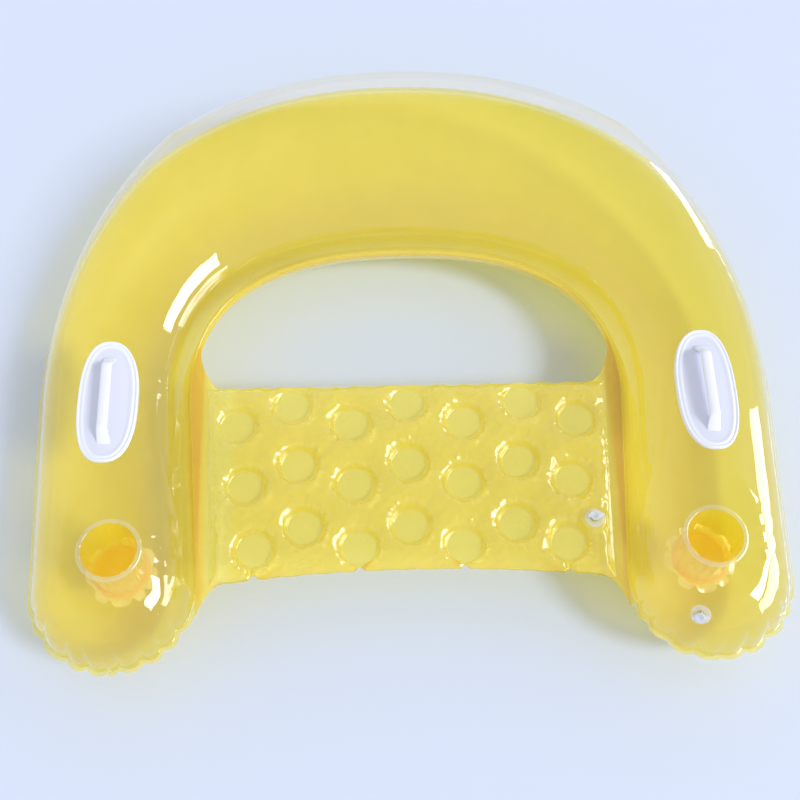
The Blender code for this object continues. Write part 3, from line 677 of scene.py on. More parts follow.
def weld_spots():
    """Centre, column and row of each round weld."""
    middle = SPOT_COLUMNS // 2
    for column in range(SPOT_COLUMNS):
        set_back = SPOT_STAGGER if (column - middle) % 2 else 0.0
        for row in range(SPOT_ROWS):
            y = SPOT_FIRST_Y - set_back - row * SPOT_PITCH_Y
            rows_back = min(max((SPOT_FIRST_Y - y) / SPOT_PITCH_Y, 0.0), SPOT_ROWS)
            pitch = SPOT_PITCH_X * (1.0 - SPOT_NARROWING_SHARE * rows_back)
            yield (column - middle) * pitch, y, column, row


def crease_waves(phase):
    """Waves with sharp creases at -1 and rounded crowns at 1."""
    return 2.0 * np.abs(np.sin(phase)) ** 0.6 - 1.0


def is_pleated(column, row):
    """Whether a weld is one of those that draw the mat's front hem back into a pleat."""
    return row == SPOT_ROWS - 1 and (column - SPOT_COLUMNS // 2) % 2


def front_pleats(x):
    """Places along the mat's front edge, from 0 to 1, where its hem is drawn back into a pleat."""
    drawn = np.zeros_like(x)
    for spot_x, _, column, row in weld_spots():
        if is_pleated(column, row):
            drawn = drawn + np.exp(-((x - spot_x) / PLEAT_WIDTH) ** 2)
    return drawn


def seat_weld(x, y):
    """Round welds of the mat, 1 inside and 0 outside."""
    welded = np.zeros_like(x)
    for spot_x, spot_y, _, _ in weld_spots():
        distance = np.hypot(x - spot_x, y - spot_y)
        welded = np.maximum(welded, smooth_step((SPOT_RADIUS - distance) / SPOT_EDGE))
    return welded


def spot_folds(off, bearing, seed):
    """Puckers that radiate from one round weld: rays, a finer comb, a chain of pinches, and tucks."""
    rays = crease_waves(RAY_COUNT * bearing + seed + 0.7 * np.sin(2 * bearing + seed))
    rays = rays * np.exp(-off / RAY_REACH) * smooth_step(off / 0.005)
    combed = np.maximum(np.cos(bearing - 1.3 * np.sin(seed)), 0.0) ** 2
    comb = crease_waves(COMB_COUNT * bearing + seed) * combed
    comb = comb * smooth_step(off / 0.002) * np.exp(-off / COMB_REACH)
    sector = np.maximum(np.cos(bearing - (2.6 + 2.2 * np.sin(2.3 * seed))), 0.0) ** 6
    chain = np.maximum(np.sin(PINCH_COUNT * bearing + seed), 0.0) ** 2
    pinch = chain * np.exp(-((off - PINCH_RING) / PINCH_WIDTH) ** 2) * sector
    tuck = crease_waves(TUCK_COUNT * bearing + 1.7 * seed) * np.exp(-((off - TUCK_RING) / TUCK_WIDTH) ** 2)
    return rays + COMB_SHARE * comb + PINCH_SHARE * pinch + TUCK_SHARE * tuck


def front_tuck(across, ahead, seed):
    """Share by which the mat lies flat in front of a pleated weld, and the lips on both sides of it."""
    aside = np.abs(across - 0.25 * ahead * np.sin(seed))
    begun = smooth_step(ahead / 0.014)
    return 0.93 * begun * np.exp(-(aside / 0.0045) ** 2), begun * np.exp(-((aside - 0.0095) / 0.0040) ** 2)


def small_creases(x, y):
    """Small creases all over the mat, with sharper rucks in some places."""
    small = swells(x, y, 0.046, 9.1) * (0.6 + 0.8 * swells(x, y, 0.031, 2.2))
    ruck = 1.0 - np.abs(swells(x, y, 0.034, 6.4)) ** 0.5
    return small + 1.5 * ruck * (0.4 + np.maximum(swells(x, y, 0.11, 1.9), 0.0))


def seat_swell(x, y, sizes):
    """Half the mat's thickness between its welds, with the puckers that radiate from them."""
    half_width = pad_half_width(y)
    front = PAD_FRONT_Y - PAD_FRONT_BOW * (x / half_width) ** 2
    border = np.minimum(np.minimum(half_width - np.abs(x), PAD_REAR_Y - y), y - front)
    room = 1.0 - np.exp(-np.maximum(border, 0.0) / BORDER_SWELL_REACH)
    fold, lips = np.zeros_like(x), np.zeros_like(x)
    for spot_x, spot_y, column, row in weld_spots():
        off = np.maximum(np.hypot(x - spot_x, y - spot_y) - SPOT_RADIUS, 0.0)
        seed = 1.7 * column + 2.9 * row
        room = room * (1.0 - np.exp(-off / SPOT_SWELL_REACH))
        fold = fold + spot_folds(off, np.arctan2(y - spot_y, x - spot_x), seed)
        if is_pleated(column, row):
            flat, lip = front_tuck(x - spot_x, spot_y - y, seed)
            room = room * (1.0 - flat)
            lips = lips + lip
    side_ridge = np.exp(-((np.abs(x) - 0.292) / 0.0065) ** 2) * smooth_step((-0.175 - y) / 0.035)
    folded = fold + 2.2 * lips + 2.6 * side_ridge
    detail = sizes.seat_fold * folded + sizes.seat_crinkle * small_creases(x, y)
    uneven = 1.0 + 0.22 * swells(x, y, 0.16, 5.3)
    return sizes.seat_bulge * room * uneven + detail * np.minimum(room * 2.0, 1.0)


def seat_points(column, row, direction, sizes):
    across = column / (SEAT_STEPS_X / 2.0) - 1.0
    along = row / SEAT_STEPS_Y
    web = web_share(across)
    pleat = front_pleats(across / MAT_SHARE * PAD_FRONT_HALF_WIDTH)
    front = PAD_FRONT_Y - PAD_FRONT_BOW * across * across - WEB_FRONT_REACH * web + PLEAT_DEPTH * pleat
    rear = PAD_REAR_Y + WEB_REAR_REACH * web
    y = front + (rear - front) * along
    pad_share = np.clip(np.abs(across) / MAT_SHARE, 0.0, 1.0)
    margin = np.clip((np.abs(across) - MAT_SHARE) / MARGIN_SHARE, 0.0, 1.0)
    wide = pad_half_width(y)
    x = np.sign(across) * (wide * pad_share + (inner_edge_x(y) - EDGE_CLEARANCE - wide) * margin)
    crown = seam_height(y) + SEAT_RISE
    near_edge = np.exp(-np.minimum(rear - y, y - front) / HEM_REACH)
    hem = HEM_RISE * np.sin(math.pi * wobble(x, HEM_PITCH, 0.4)) * near_edge
    height = crown + direction * (SHEET_GAP + seat_swell(x, y, sizes)) + hem * (1.0 - margin)
    points = np.stack((x, y + HIP_SHIFT, height), axis=1)
    return level_under(points, "seat_valve") if direction > 0 else points


def seat_plan(column, row):
    """Plan points of the mat's grid."""
    points = seat_points(column, row, 1, bpy.context.scene.pool_chair_sizes)
    return points[:, 0], points[:, 1] - HIP_SHIFT


def weld_and_light_paint(column, row):
    """Round welds, and painted light: the mat's margin on its left side alone is painted paler, where the
    light falls on it.
    """
    x, y = seat_plan(column, row)
    # Painted light: only the left margin is made paler, for the light that falls on that side.
    left_painted_light = smooth_step((-0.266 - x) / 0.02) * smooth_step((0.322 + x) / 0.01)
    return np.maximum(seat_weld(x, y), left_painted_light)


def pleat_and_shade_paint(column, row):
    """Places where the mat's hem is folded over itself at its front pleats, with painted shade: a darker
    band along the front edge, and deeper orange at the mat's sides in the crevices by the tube.
    """
    x, y = seat_plan(column, row)
    front = PAD_FRONT_Y - PAD_FRONT_BOW * (x / PAD_FRONT_HALF_WIDTH) ** 2
    ahead = np.maximum(y - front, 0.0)
    folded = front_pleats(x * (1.0 + ahead * 18.0)) * np.exp(-(ahead / 0.014) ** 2)
    # Painted shade: a darker band along the front edge.
    hem = 0.20 * np.exp(-(ahead / 0.010) ** 2)
    # Painted shade: deeper orange at the mat's sides, in the crevices by the tube.
    side = 0.8 * smooth_step((x - 0.318) / 0.012) + 0.8 * smooth_step((-x - 0.322) / 0.008)
    return np.clip(folded + hem + side, 0.0, 1.0)


def side_weld_points(column, row, side):
    """Strip under the mat's edge, where it is welded into the tube's inner seam."""
    low, high = PAD_FRONT_Y - PAD_FRONT_BOW - 0.6 * WEB_FRONT_REACH, PAD_REAR_Y + 0.6 * WEB_REAR_REACH
    y = low + (high - low) * row / SEAT_STEPS_Y
    taper = smooth_step((y - low) / 0.03) * smooth_step((high - y) / 0.05)
    inwards = SIDE_WELD_WIDTH * taper * column / (SIDE_WELD_COLUMNS - 1)
    x = inner_edge_x(y) - EDGE_CLEARANCE - inwards
    height = seam_height(y) + SEAT_RISE - SIDE_WELD_DROP
    return np.stack((side * x, y + HIP_SHIFT, height), axis=1)


# Materials

FILM_IOR = 1.5
TWO_SKINS = 1.6

Patch = namedtuple("Patch", "paint tint body share")
Film = namedtuple("Film", "tint body share haze rough inner_gloss patches crumple wave_scale",
                  defaults=(1.0, (), 0.12, 26.0))

# Light passed and scattered, share scattered, its haze, and the gloss's roughness. Finishes are found again
# by name, so no name here is one that the frame's own materials have.
FILMS = {
    "clear_film": Film("clear_tint", (0.95, 0.96, 1.0), 0.035, 0.02, 0.0),
    "yellow_film": Film("yellow_tint", "yellow_body", 0.42, 0.16, 0.05, 0.10, (
        Patch("bare_weld", (0.99, 0.92, 0.36), (1.0, 0.88, 0.25), 0.30),
        # Painted shade: deeper orange on the tube's inner side beside the mat, where the crevice lies in
        # shade.
        Patch("deep_inside", (0.99, 0.86, 0.04), (1.0, 0.77, 0.03), 0.46))),
    "seat_film": Film("seat_tint", "seat_body", 0.32, 0.12, 0.02, 0.5, (
        # Paler round welds, and painted light on the mat's left margin.
        Patch("round_welds", (0.995, 0.96, 0.50), (1.0, 0.90, 0.26), 0.30),
        # Folded pleats, with painted shade along the front edge and at the sides.
        Patch("folded_hem", (0.90, 0.72, 0.10), (0.88, 0.60, 0.03), 0.46)), 0.40, 48.0),
    "cup_film": Film((0.99, 0.94, 0.42), (1.0, 0.86, 0.16), 0.30, 0.08, 0.03),
    "cup_base_film": Film((0.99, 0.72, 0.07), (1.0, 0.63, 0.02), 0.55, 0.10, 0.10),
    "cup_margin_film": Film((0.99, 0.90, 0.30), (1.0, 0.82, 0.12), 0.45, 0.20, 0.22),
    # Weld strip beside the mat: a real weld, with its deeper orange film painted shade of the crevice
    # between mat and tube.
    "side_weld_film": Film((0.99, 0.83, 0.08), (1.0, 0.73, 0.03), 0.46, 0.10, 0.06),
    "ring_film": Film((0.97, 0.97, 0.99), (0.93, 0.94, 1.0), 0.12, 0.10, 0.05),
    "frosted_film": Film((0.90, 0.93, 0.98), (0.90, 0.93, 1.0), 0.35, 0.20, 0.16),
}


class Wire:
    """A socket of a finish, on which shader maths is written as Python sums."""

    def __init__(self, finish, socket):
        self.finish = finish
        self.socket = socket

    def __add__(self, other):
        return self.finish.math("ADD", self, other)

    def __sub__(self, other):
        return self.finish.math("SUBTRACT", self, other)

    def __rsub__(self, other):
        return self.finish.math("SUBTRACT", other, self)

    def __mul__(self, other):
        return self.finish.math("MULTIPLY", self, other)

    __radd__ = __add__
    __rmul__ = __mul__


class Finish:
    """The nodes of one material or of the world, and the one way of adding them."""

    def __init__(self, owner):
        self.owner = owner
        owner.use_nodes = True
        self.tree = owner.node_tree
        self.tree.nodes.clear()

    def add(self, kind, settings=None, **inputs):
        """Node with its inputs fed by name, or by number where the key is _0, _1 and so on."""
        node = self.tree.nodes.new(kind)
        for key, value in (settings or {}).items():
            setattr(node, key, value)
        for key, value in inputs.items():
            socket = node.inputs[int(key[1:])] if key.startswith("_") else node.inputs[key.replace("_", " ")]
            if isinstance(value, Wire):
                value = value.socket
            if isinstance(value, bpy.types.NodeSocket):
                self.tree.links.new(value, socket)
            else:
                socket.default_value = value
        return node

    def math(self, operation, first, second):
        node = self.add("ShaderNodeMath", {"operation": operation}, _0=first, _1=second)
        return Wire(self, node.outputs[0])

    def noise(self, scale, detail=3.0):
        """Noise on the piece's own coordinates, scale in repeats a metre."""
        place = self.add("ShaderNodeTexCoord").outputs["Object"]
        node = self.add("ShaderNodeTexNoise", Vector=place, Scale=scale, Detail=detail, Roughness=0.5)
        return Wire(self, node.outputs["Fac"])

    def painted(self, name):
        """Number that the piece carries at each of its points."""
        return Wire(self, self.add("ShaderNodeAttribute", {"attribute_name": name}).outputs["Fac"])

    def mix(self, share, first, second):
        node = self.add("ShaderNodeMix", {"data_type": "RGBA"}, Factor=share, _6=first, _7=second)
        return node.outputs[2]

    def bump(self, height, strength, distance):
        return self.add("ShaderNodeBump", Height=height, Strength=strength, Distance=distance).outputs[0]

    def blend(self, share, first, second):
        """One shader mixed into another."""
        return self.add("ShaderNodeMixShader", _0=share, _1=first, _2=second).outputs[0]

    def clear(self, tint):
        return self.add("ShaderNodeBsdfTransparent", Color=tint).outputs[0]

    def output(self, shader):
        self.add("ShaderNodeOutputMaterial", Surface=shader)
        return self.owner


def opaque(colour, scale=1.0):
    """Colour with its alpha; a name stands for that one of the chair's colours."""
    if isinstance(colour, str):
        colour = getattr(bpy.context.scene.pool_chair_colours, colour)
    return (*[part * scale for part in colour], 1.0)


def film_finish(name, film):
    """See-through vinyl film: tinted light passes, a share is scattered, and the gloss lies on top.

    The film is thin, so both of its skins mirror; the powdered inner side mirrors less by inner_gloss.
    Each patch is a painted name with the tint, body and share that the film has there.
    """
    finish = Finish(bpy.data.materials.new(name))
    waves = finish.noise(film.wave_scale, 2.0)
    grain = finish.noise(420.0)
    normal = finish.bump(waves * 0.8 + grain * 0.05, film.crumple, 0.004)
    cloud = finish.noise(9.0, 4.0)
    clear = finish.clear(opaque(film.tint))
    colour = opaque(film.body)
    share = film.share + film.haze * (cloud - 0.5)
    for patch in film.patches:
        here = finish.painted(patch.paint)
        clear = finish.blend(here, clear, finish.clear(opaque(patch.tint)))
        colour = finish.mix(here, colour, opaque(patch.body))
        share = share + here * (patch.share - film.share)
    solid = finish.add("ShaderNodeBsdfPrincipled", Base_Color=colour, Roughness=0.6, Normal=normal)
    solid.inputs["Specular IOR Level"].default_value = 0.0
    behind = Wire(finish, finish.add("ShaderNodeNewGeometry").outputs["Backfacing"])
    dulled = 1.0 - film.inner_gloss
    rough = film.rough + 0.02 * cloud + behind * (0.35 * dulled)
    gloss = finish.add("ShaderNodeBsdfGlossy", Color=(1.0, 1.0, 1.0, 1.0), Roughness=rough, Normal=normal)
    bend = FILM_IOR - behind * (FILM_IOR - 1.0 / FILM_IOR)
    fresnel = Wire(finish, finish.add("ShaderNodeFresnel", IOR=bend, Normal=normal).outputs[0])
    mirror = fresnel * (TWO_SKINS * (1.0 - behind * dulled))
    vinyl = finish.blend(share, clear, solid.outputs[0])
    return finish.output(finish.blend(mirror, vinyl, gloss.outputs[0]))


def moulding_finish(name):
    """Smooth white soft plastic, with painted shade greying its dish under the bar, and a faint unevenness
    from the mould.
    """
    finish = Finish(bpy.data.materials.new(name))
    cloud = finish.noise(30.0)
    grain = finish.noise(700.0)
    normal = finish.bump(cloud * 0.6 + grain * 0.1, 0.12, 0.002)
    mottled_white = finish.mix(cloud, opaque("white", 0.95), opaque("white"))
    # Painted shade: the dish is mixed towards a greyer colour.
    shade = finish.mix(finish.painted("thin_dish"), mottled_white, opaque("dish"))
    rough = 0.26 + 0.08 * cloud
    skin = finish.add("ShaderNodeBsdfPrincipled", Base_Color=shade, Roughness=rough, IOR=1.5, Normal=normal)
    skin.inputs["Coat Weight"].default_value = 0.35
    skin.inputs["Coat Roughness"].default_value = 0.08
    return finish.output(skin.outputs[0])


def floor_finish(name):
    finish = Finish(bpy.data.materials.new(name))
    shade = finish.mix(finish.noise(1.2, 2.0), opaque("floor", 0.985), opaque("floor"))
    skin = finish.add("ShaderNodeBsdfPrincipled", Base_Color=shade, Roughness=0.9)
    return finish.output(skin.outputs[0])


def finishes():
    """The chair's finishes, made once and found again by name."""
    known = bpy.data.materials
    found = {name: known.get(name) or film_finish(name, film) for name, film in FILMS.items()}
    found["handle_plastic"] = known.get("handle_plastic") or moulding_finish("handle_plastic")
    return found


# Sizes and colours


class ChairSizes(bpy.types.PropertyGroup):
    """Depths of the soft forms that the air gives the chair."""

    lobe_depth: bpy.props.FloatProperty(
        name="Lobe depth", description="Depth of the creases round the arms' ends",
        default=0.009, unit="LENGTH")
    seam_flutter: bpy.props.FloatProperty(
        name="Seam flutter", description="Rise and fall of the gathered weld",
        default=0.0016, unit="LENGTH")
    back_pucker: bpy.props.FloatProperty(
        name="Back pucker", description="Depth of the creases along the back's seams",
        default=0.0012, unit="LENGTH")
    film_waves: bpy.props.FloatProperty(
        name="Film waves", description="Height of the slow waves in the tube's film",
        default=0.0012, unit="LENGTH")
    cup_fold: bpy.props.FloatProperty(
        name="Cup fold", description="Height of the folds round a cup",
        default=0.0009, unit="LENGTH")
    arm_crease: bpy.props.FloatProperty(
        name="Arm crease", description="Height of the crease along each arm's inner side",
        default=0.0022, unit="LENGTH")
    seat_bulge: bpy.props.FloatProperty(
        name="Seat bulge", description="Swell of the mat between its welds",
        default=0.020, unit="LENGTH")
    seat_fold: bpy.props.FloatProperty(
        name="Seat fold", description="Height of the puckers round the mat's welds",
        default=0.0014, unit="LENGTH")
    seat_crinkle: bpy.props.FloatProperty(
        name="Seat crinkle", description="Height of the small creases all over the mat",
        default=0.0015, unit="LENGTH")


class ChairColours(bpy.types.PropertyGroup):
    """Colours of the films, the mouldings and the floor."""

    clear_tint: bpy.props.FloatVectorProperty(
        name="Clear film", description="Light that passes the clear film",
        default=(0.985, 0.985, 0.992), subtype="COLOR", size=3)
    yellow_tint: bpy.props.FloatVectorProperty(
        name="Yellow film", description="Light that passes the yellow film",
        default=(0.99, 0.87, 0.06), subtype="COLOR", size=3)
    seat_tint: bpy.props.FloatVectorProperty(
        name="Seat film", description="Light that passes one sheet of the mat",
        default=(0.99, 0.94, 0.42), subtype="COLOR", size=3)
    yellow_body: bpy.props.FloatVectorProperty(
        name="Yellow body", description="Light that the yellow film scatters",
        default=(1.0, 0.79, 0.06), subtype="COLOR", size=3)
    seat_body: bpy.props.FloatVectorProperty(
        name="Seat body", description="Light that the mat's film scatters",
        default=(1.0, 0.84, 0.16), subtype="COLOR", size=3)
    white: bpy.props.FloatVectorProperty(
        name="White moulding", description="Colour of the handles",
        default=(0.82, 0.85, 0.94), subtype="COLOR", size=3)
    # Painted shade: the greyer colour given to a handle's dish for the shade in its recess.
    dish: bpy.props.FloatVectorProperty(
        name="Handle dish", description="Colour of the thin dish under a handle's bar",
        default=(0.69, 0.72, 0.85), subtype="COLOR", size=3)
    floor: bpy.props.FloatVectorProperty(
        name="Floor", description="Colour of the floor",
        default=(0.62, 0.69, 0.86), subtype="COLOR", size=3)


# Operators


class POOLCHAIR_OT_stage(bpy.types.Operator):
    """Camera, floor and soft lights"""

    bl_idname = "poolchair.stage"
    bl_label = "Stage"

    def execute(self, context):
        self.make_camera(context)
        self.make_floor(context)
        self.make_lights(context)
        return {"FINISHED"}

    def make_camera(self, context):
        """Camera on a sphere round its aim, turned a little about its own axis."""
        rise, turn = math.radians(CAMERA_RISE_DEG), math.radians(CAMERA_TURN_DEG)
        back = Vector((math.sin(turn) * math.cos(rise), -math.cos(turn) * math.cos(rise), math.sin(rise)))
        right = Vector((math.cos(turn), math.sin(turn), 0.0))
        up = back.cross(right)
        roll = math.radians(CAMERA_ROLL_DEG)
        side = right * math.cos(roll) + up * math.sin(roll)
        top = up * math.cos(roll) - right * math.sin(roll)
        placed = Matrix((side, top, back)).transposed().to_4x4()
        placed.translation = Vector(CAMERA_AIM) + Vector((0.0, HIP_SHIFT, 0.0)) + back * CAMERA_DISTANCE
        data = bpy.data.cameras.new("camera")
        data.sensor_width = SENSOR_MM
        data.lens = FOCAL_PX / IMAGE_SIDE_PX * SENSOR_MM
        camera = bpy.data.objects.new("camera", data)
        camera.matrix_world = placed
        context.scene.collection.objects.link(camera)
        context.scene.camera = camera

    def make_floor(self, context):
        mesh = bpy.data.meshes.new("floor")
        with opened(mesh) as build:
            bmesh.ops.create_grid(build, x_segments=8, y_segments=8, size=FLOOR_HALF_SIDE)
            bmesh.ops.translate(build, vec=(0.0, 0.0, -FLOOR_DROP), verts=build.verts)
        mesh.materials.append(floor_finish("pale_floor"))
        floor = bpy.data.objects.new("floor", mesh)
        context.scene.collection.objects.link(floor)

    def make_lights(self, context):
        key = bpy.data.lights.new("key", "SUN")
        key.energy = KEY_STRENGTH
        key.angle = math.radians(KEY_SPREAD_DEG)
        key.color = KEY_COLOUR
        lamp = self.place_lamp(context, key, KEY_FROM, (0.0, 0.0, 0.0))
        lamp.visible_glossy = False
        for name, place, (wide, tall), radiance in LAMPS:
            data = bpy.data.lights.new(name, "AREA")
            data.shape = "RECTANGLE"
            data.size = wide
            data.size_y = tall
            data.energy = math.pi * wide * tall * radiance
            lamp = self.place_lamp(context, data, place, LAMP_AIM)
            lamp.visible_camera = False
            lamp.visible_diffuse = False
        context.scene.world = self.room()
        context.scene.view_settings.view_transform = "Standard"

    def place_lamp(self, context, data, place, aim):
        lamp = bpy.data.objects.new(data.name, data)
        lamp.location = place
        lamp.rotation_mode = "QUATERNION"
        lamp.rotation_quaternion = (Vector(aim) - Vector(place)).to_track_quat("-Z", "Y")
        context.scene.collection.objects.link(lamp)
        return lamp

    def room(self):
        """World that is bright towards its walls and darker overhead."""
        world = bpy.data.worlds.new("soft_room")
        finish = Finish(world)
        way = finish.add("ShaderNodeTexCoord").outputs["Generated"]
        rise = finish.add("ShaderNodeSeparateXYZ", Vector=way).outputs["Z"]
        turn = finish.add("ShaderNodeMapRange", {"interpolation_type": "SMOOTHSTEP"}, Value=rise,
                          From_Min=ROOM_TURN[0], From_Max=ROOM_TURN[1])
        shade = finish.mix(turn.outputs[0], opaque(ROOM_LOW), opaque(ROOM_HIGH))
        light = finish.add("ShaderNodeBackground", Color=shade)
        finish.add("ShaderNodeOutputWorld", Surface=light.outputs[0])
        return world


class POOLCHAIR_OT_tube(bpy.types.Operator):
    """Clear upper film and yellow lower film of the air tube"""

    bl_idname = "poolchair.tube"
    bl_label = "Air tube"

    def execute(self, context):
        sizes = context.scene.pool_chair_sizes
        films = finishes()
        upper = grid_mesh("tube_upper_film", len(CENTRE), len(ANGLES),
                          lambda column, row: upper_points(column, row, sizes), cup_hole)
        lower = grid_mesh("tube_lower_film", len(CENTRE), len(ANGLES),
                          lambda column, row: lower_points(column, row, sizes),
                          paints={"bare_weld": bare_weld, "deep_inside": deep_inside})
        piece = finish_piece("tube_upper_film", face_mesh(upper, True), films["clear_film"], "chair",
                             ["tube_upper_sheet"])
        piece = finish_piece("tube_lower_film", face_mesh(lower, False), films["yellow_film"], "chair",
                             ["tube_lower_sheet"])
        return {"FINISHED"}


class POOLCHAIR_OT_seat(bpy.types.Operator):
    """Quilted mat between the arms, two films with round welds"""

    bl_idname = "poolchair.seat"
    bl_label = "Seat mat"

    def execute(self, context):
        sizes = context.scene.pool_chair_sizes
        films = finishes()
        for part, direction in (("upper", 1), ("lower", -1)):
            mesh = grid_mesh(f"seat_{part}_film", SEAT_STEPS_X + 1, SEAT_STEPS_Y + 1,
                             lambda column, row: seat_points(column, row, direction, sizes),
                             paints={"round_welds": weld_and_light_paint, "folded_hem": pleat_and_shade_paint})
            piece = finish_piece(f"seat_{part}_film", face_mesh(mesh, direction > 0), films["seat_film"],
                                 "chair", [f"seat_{part}_sheet"])
        for side, label in SIDES:
            mesh = grid_mesh(label + "_side_weld", SIDE_WELD_COLUMNS, SEAT_STEPS_Y + 1,
                             lambda column, row: side_weld_points(column, row, side))
            # Real weld strips, whose deeper orange film is painted shade of the crevice.
            finish_piece(label + "_side_weld", face_mesh(mesh, True), films["side_weld_film"], "chair")
        return {"FINISHED"}


class POOLCHAIR_OT_cups(bpy.types.Operator):
    """Rim ring, sleeve and floor of the cup in each arm's end"""

    bl_idname = "poolchair.cups"
    bl_label = "Cups"

    def execute(self, context):
        films = finishes()
        for side, label in SIDES:
            middle = Matrix.Translation((side * CUP_X, CUP_Y + HIP_SHIFT, 0.0))
            floor_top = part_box(label + "_cup_floor")[1].z
            rim_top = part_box(label + "_cup_rim")[1].z
            pieces = (
                ("ring", "ring_film", "frosted_vinyl", ["rim"], self.ring_mesh(label, rim_top)),
                ("sleeve", "cup_film", "yellow_vinyl", ["wall"],
                 self.sleeve_mesh(label, floor_top, rim_top)),
                ("base", "cup_base_film", "yellow_vinyl", ["floor"], self.base_mesh(label, floor_top)),
                ("margin", "cup_margin_film", "yellow_vinyl", [], self.margin_mesh(label, floor_top)),
            )
            for name, film, slot, nodes, mesh in pieces:
                mesh.transform(middle)
                finish_piece(f"{label}_cup_{name}", mesh, films[film], "chair",
                             [f"{label}_cup_{node}" for node in nodes])
        return {"FINISHED"}

    def ring_mesh(self, label, rim_top):
        rows = [(radius, rim_top - drop) for radius, drop in CUP_RING_PROFILE]
        return turned_mesh(label + "_rim", rows, 96)

    def sleeve_mesh(self, label, floor_top, rim_top):
        """Wall film that narrows and creases towards its foot."""
        depth = rim_top - CUP_SLEEVE_TOP - floor_top
        rows = [(CUP_BORE_RADIUS, floor_top + depth * share) for share in np.linspace(0, 1, 24)]
        sleeve = turned_mesh(label + "_sleeve", rows, 128)
        points = mesh_points(sleeve)
        bearing = around(points)[1]
        drop = 1.0 - (points[:, 2] - floor_top) / depth
        crease = np.sin(CUP_SLEEVE_CREASES * bearing + 1.2 * np.sin(3 * bearing))
        fold = crease * CUP_SLEEVE_CREASE_DEPTH * smooth_step(drop * 2.2)
        taper = -CUP_TAPER * smooth_step(drop * 1.15)
        points[:, :2] *= (1.0 + (fold + taper) / CUP_BORE_RADIUS)[:, None]
        return put_points(sleeve, points)

    def base_mesh(self, label, floor_top):
        """Round floor with a toothed edge."""
        rows = [(radius, floor_top) for radius in np.linspace(0.0, CUP_BASE_RADIUS, 20)]
        base = turned_mesh(label + "_base", rows, 160)
        points = mesh_points(base)
        radius, bearing = around(points)
        teeth = teeth_round(bearing, CUP_BASE_TEETH, 0.5) * smooth_step((radius - 0.036) / 0.007)
        points[:, :2] *= (1.0 - 0.06 * teeth)[:, None]
        points[:, 2] += 0.0004 * np.sin(3 * bearing + 40 * radius) - 0.001
        return put_points(base, points)

    def margin_mesh(self, label, floor_top):
        """Gathered weld margin round the floor, in broad petals."""
        reach = np.linspace(CUP_BASE_RADIUS - 0.003, CUP_MARGIN_RADIUS, 16)
        rows = [(radius, floor_top) for radius in reach]
        margin = turned_mesh(label + "_margin", rows, 192)
        points = mesh_points(margin)
        radius, bearing = around(points)
        out = smooth_step((radius - CUP_BASE_RADIUS) / (CUP_MARGIN_RADIUS - CUP_BASE_RADIUS))
        petal = teeth_round(bearing, CUP_MARGIN_PETALS, 2.1)
        wave = np.sin(CUP_MARGIN_PETALS * bearing + 1.1 * np.sin(2 * bearing + 2.1) + 0.4)
        points[:, 2] += out * (0.0030 * wave - 0.0016) - 0.0008
        points[:, :2] *= (1.0 - 0.14 * petal * out)[:, None]
        return put_points(margin, points)


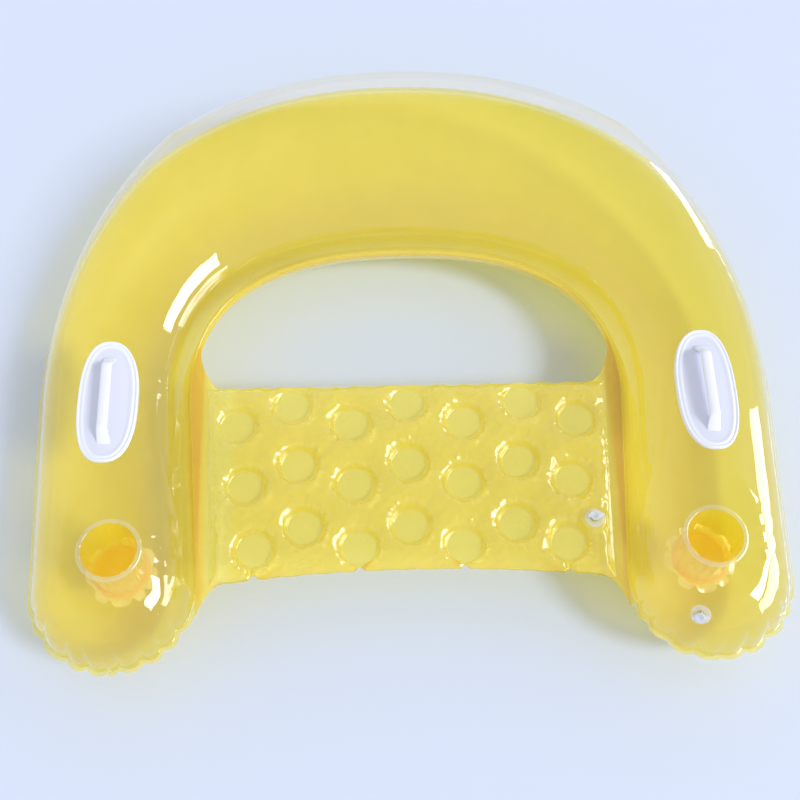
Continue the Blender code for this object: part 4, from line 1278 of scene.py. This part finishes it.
class POOLCHAIR_OT_handles(bpy.types.Operator):
    """Oval plate and grip bar on each arm"""

    bl_idname = "poolchair.handles"
    bl_label = "Handles"

    def execute(self, context):
        white = finishes()["handle_plastic"]
        for side, label in SIDES:
            for part, make in (("plate", self.plate_mesh), ("bar", self.bar_mesh)):
                finish_piece(f"{label}_grip_{part}", make(side, label), white, "chair",
                             [f"{label}_handle_{part}"])
        return {"FINISHED"}

    def plate_mesh(self, side, label):
        """Dished oval, made as a turned disc whose loops are then set out by the profile's insets."""
        rows = [(1.0 - index / PLATE_LOOPS, height) for index, (_, height) in enumerate(PLATE_PROFILE)]
        mesh = turned_mesh(label + "_plate", rows, HANDLE_STEPS)
        points = mesh_points(mesh)
        radius = np.hypot(points[:, 0], points[:, 1])
        index = np.rint((1.0 - radius) * PLATE_LOOPS).astype(int)
        inset = np.array(PLATE_PROFILE)[np.minimum(index, len(PLATE_PROFILE) - 1), 0]
        x = side * HANDLE_X + (HANDLE_WIDTH / 2 - inset) * power_of(points[:, 0] / radius, HANDLE_POWER)
        y = HANDLE_Y + (HANDLE_LENGTH / 2 - inset) * power_of(points[:, 1] / radius, HANDLE_POWER)
        height = points[:, 2] + self.tube_top(side, x, y)
        put_points(mesh, np.stack((x, y + HIP_SHIFT, height), axis=1))
        # Painted shade: the dish inside the rim is marked for a greyer colour.
        put_paint(mesh, "thin_dish", smooth_step((inset - DISH_SHADE_START) / DISH_SHADE_FADE))
        with opened(mesh) as build:
            rim = [edge for edge in build.edges if edge.is_boundary]
            slot = [edge for edge in rim if self.in_slot(edge.verts[0].co, side)]
            bmesh.ops.contextual_create(build, geom=slot)
            bmesh.ops.triangulate(build, faces=[face for face in build.faces if len(face.verts) > 4])
            bmesh.ops.recalc_face_normals(build, faces=build.faces)
        return face_mesh(mesh, True)

    def in_slot(self, place, side):
        """Whether a place is on the narrow slot that the plate's innermost loop leaves open."""
        off = place.xy - Vector((side * HANDLE_X, HANDLE_Y + HIP_SHIFT))
        return off.length < HANDLE_LENGTH / 2 * 0.9 and abs(off.x) < PLATE_SLOT_HALF_WIDTH

    def tube_top(self, side, x, y):
        """Height of the tube's upper film under a point of the handle."""
        share = np.clip(np.abs(x - side * arm_x(y)) / tube_radius(y), 0.0, 0.99)
        half = seam_height(y)
        return half + SHEET_GAP + half * np.sqrt(1.0 - share * share)

    def bar_mesh(self, side, label):
        """Arched bar with spread feet, as a closed tube of rings."""
        top = self.tube_top(side, side * HANDLE_X, HANDLE_Y)

        def place(column, row):
            along = (column / (BAR_STATIONS - 1) * 2.0 - 1.0) * BAR_FOOT
            turn = row / BAR_SIDES * 2 * math.pi
            foot = smooth_step((np.abs(along) - BAR_SHOULDER) / (BAR_FOOT - BAR_SHOULDER))
            lift = BAR_RISE * (1.0 - foot) + BAR_FOOT_LIFT * foot
            half_wide = BAR_HALF_WIDTH * (1.0 + BAR_FOOT_SPREAD * foot)
            half_deep = BAR_HALF_DEPTH * (1.0 - BAR_FOOT_THINNING * foot)
            x = side * HANDLE_X + half_wide * power_of(np.cos(turn), BAR_POWER)
            z = top + lift + half_deep * power_of(np.sin(turn), BAR_POWER)
            return np.stack((x, HANDLE_Y + along + HIP_SHIFT, z), axis=1)

        mesh = grid_mesh(label + "_bar", BAR_STATIONS, BAR_SIDES + 1, place)
        with opened(mesh) as build:
            bmesh.ops.holes_fill(build, edges=[edge for edge in build.edges if edge.is_boundary], sides=0)
            bmesh.ops.recalc_face_normals(build, faces=build.faces)
        return mesh


class POOLCHAIR_OT_valves(bpy.types.Operator):
    """Weld disc, stem, capped plug and check flap of each air valve"""

    bl_idname = "poolchair.valves"
    bl_label = "Valves"

    def execute(self, context):
        film = finishes()["frosted_film"]
        for label in ("tube_valve", "seat_valve"):
            placed = valve_frame(label)
            for name, node, profile, blocks in VALVE_PIECES:
                mesh = turned_mesh(f"{label}_{name}", profile, VALVE_STEPS, closed=name == "neck")
                if blocks:
                    add_blocks(mesh, blocks)
                mesh.transform(placed)
                body = "chair" if node == "base" else f"{label}_{node}"
                finish_piece(f"{label}_{name}", mesh, film, body, [f"{label}_{node}"])
        return {"FINISHED"}


class POOLCHAIR_PT_panel(bpy.types.Panel):
    """Lists the chair's pieces in the sidebar"""

    bl_idname = "POOLCHAIR_PT_panel"
    bl_label = "Pool chair"
    bl_space_type = "VIEW_3D"
    bl_region_type = "UI"
    bl_category = "Pool chair"

    def draw(self, context):
        for operator in OPERATORS:
            self.layout.operator(operator.bl_idname)


OPERATORS = (POOLCHAIR_OT_stage, POOLCHAIR_OT_tube, POOLCHAIR_OT_seat, POOLCHAIR_OT_cups,
             POOLCHAIR_OT_handles, POOLCHAIR_OT_valves)
CLASSES = (ChairSizes, ChairColours, *OPERATORS, POOLCHAIR_PT_panel)


def register():
    for item in CLASSES:
        bpy.utils.register_class(item)
    bpy.types.Scene.pool_chair_sizes = bpy.props.PointerProperty(type=ChairSizes)
    bpy.types.Scene.pool_chair_colours = bpy.props.PointerProperty(type=ChairColours)


def unregister():
    del bpy.types.Scene.pool_chair_colours
    del bpy.types.Scene.pool_chair_sizes
    for item in reversed(CLASSES):
        bpy.utils.unregister_class(item)


def main():
    register()
    for name in ("Cube", "Light", "Camera"):
        if name in bpy.data.objects:
            bpy.data.objects.remove(bpy.data.objects[name])
    bpy.ops.poolchair.stage()
    bpy.ops.poolchair.tube()
    bpy.ops.poolchair.seat()
    bpy.ops.poolchair.cups()
    bpy.ops.poolchair.handles()
    bpy.ops.poolchair.valves()


if __name__ == "__main__":
    main()
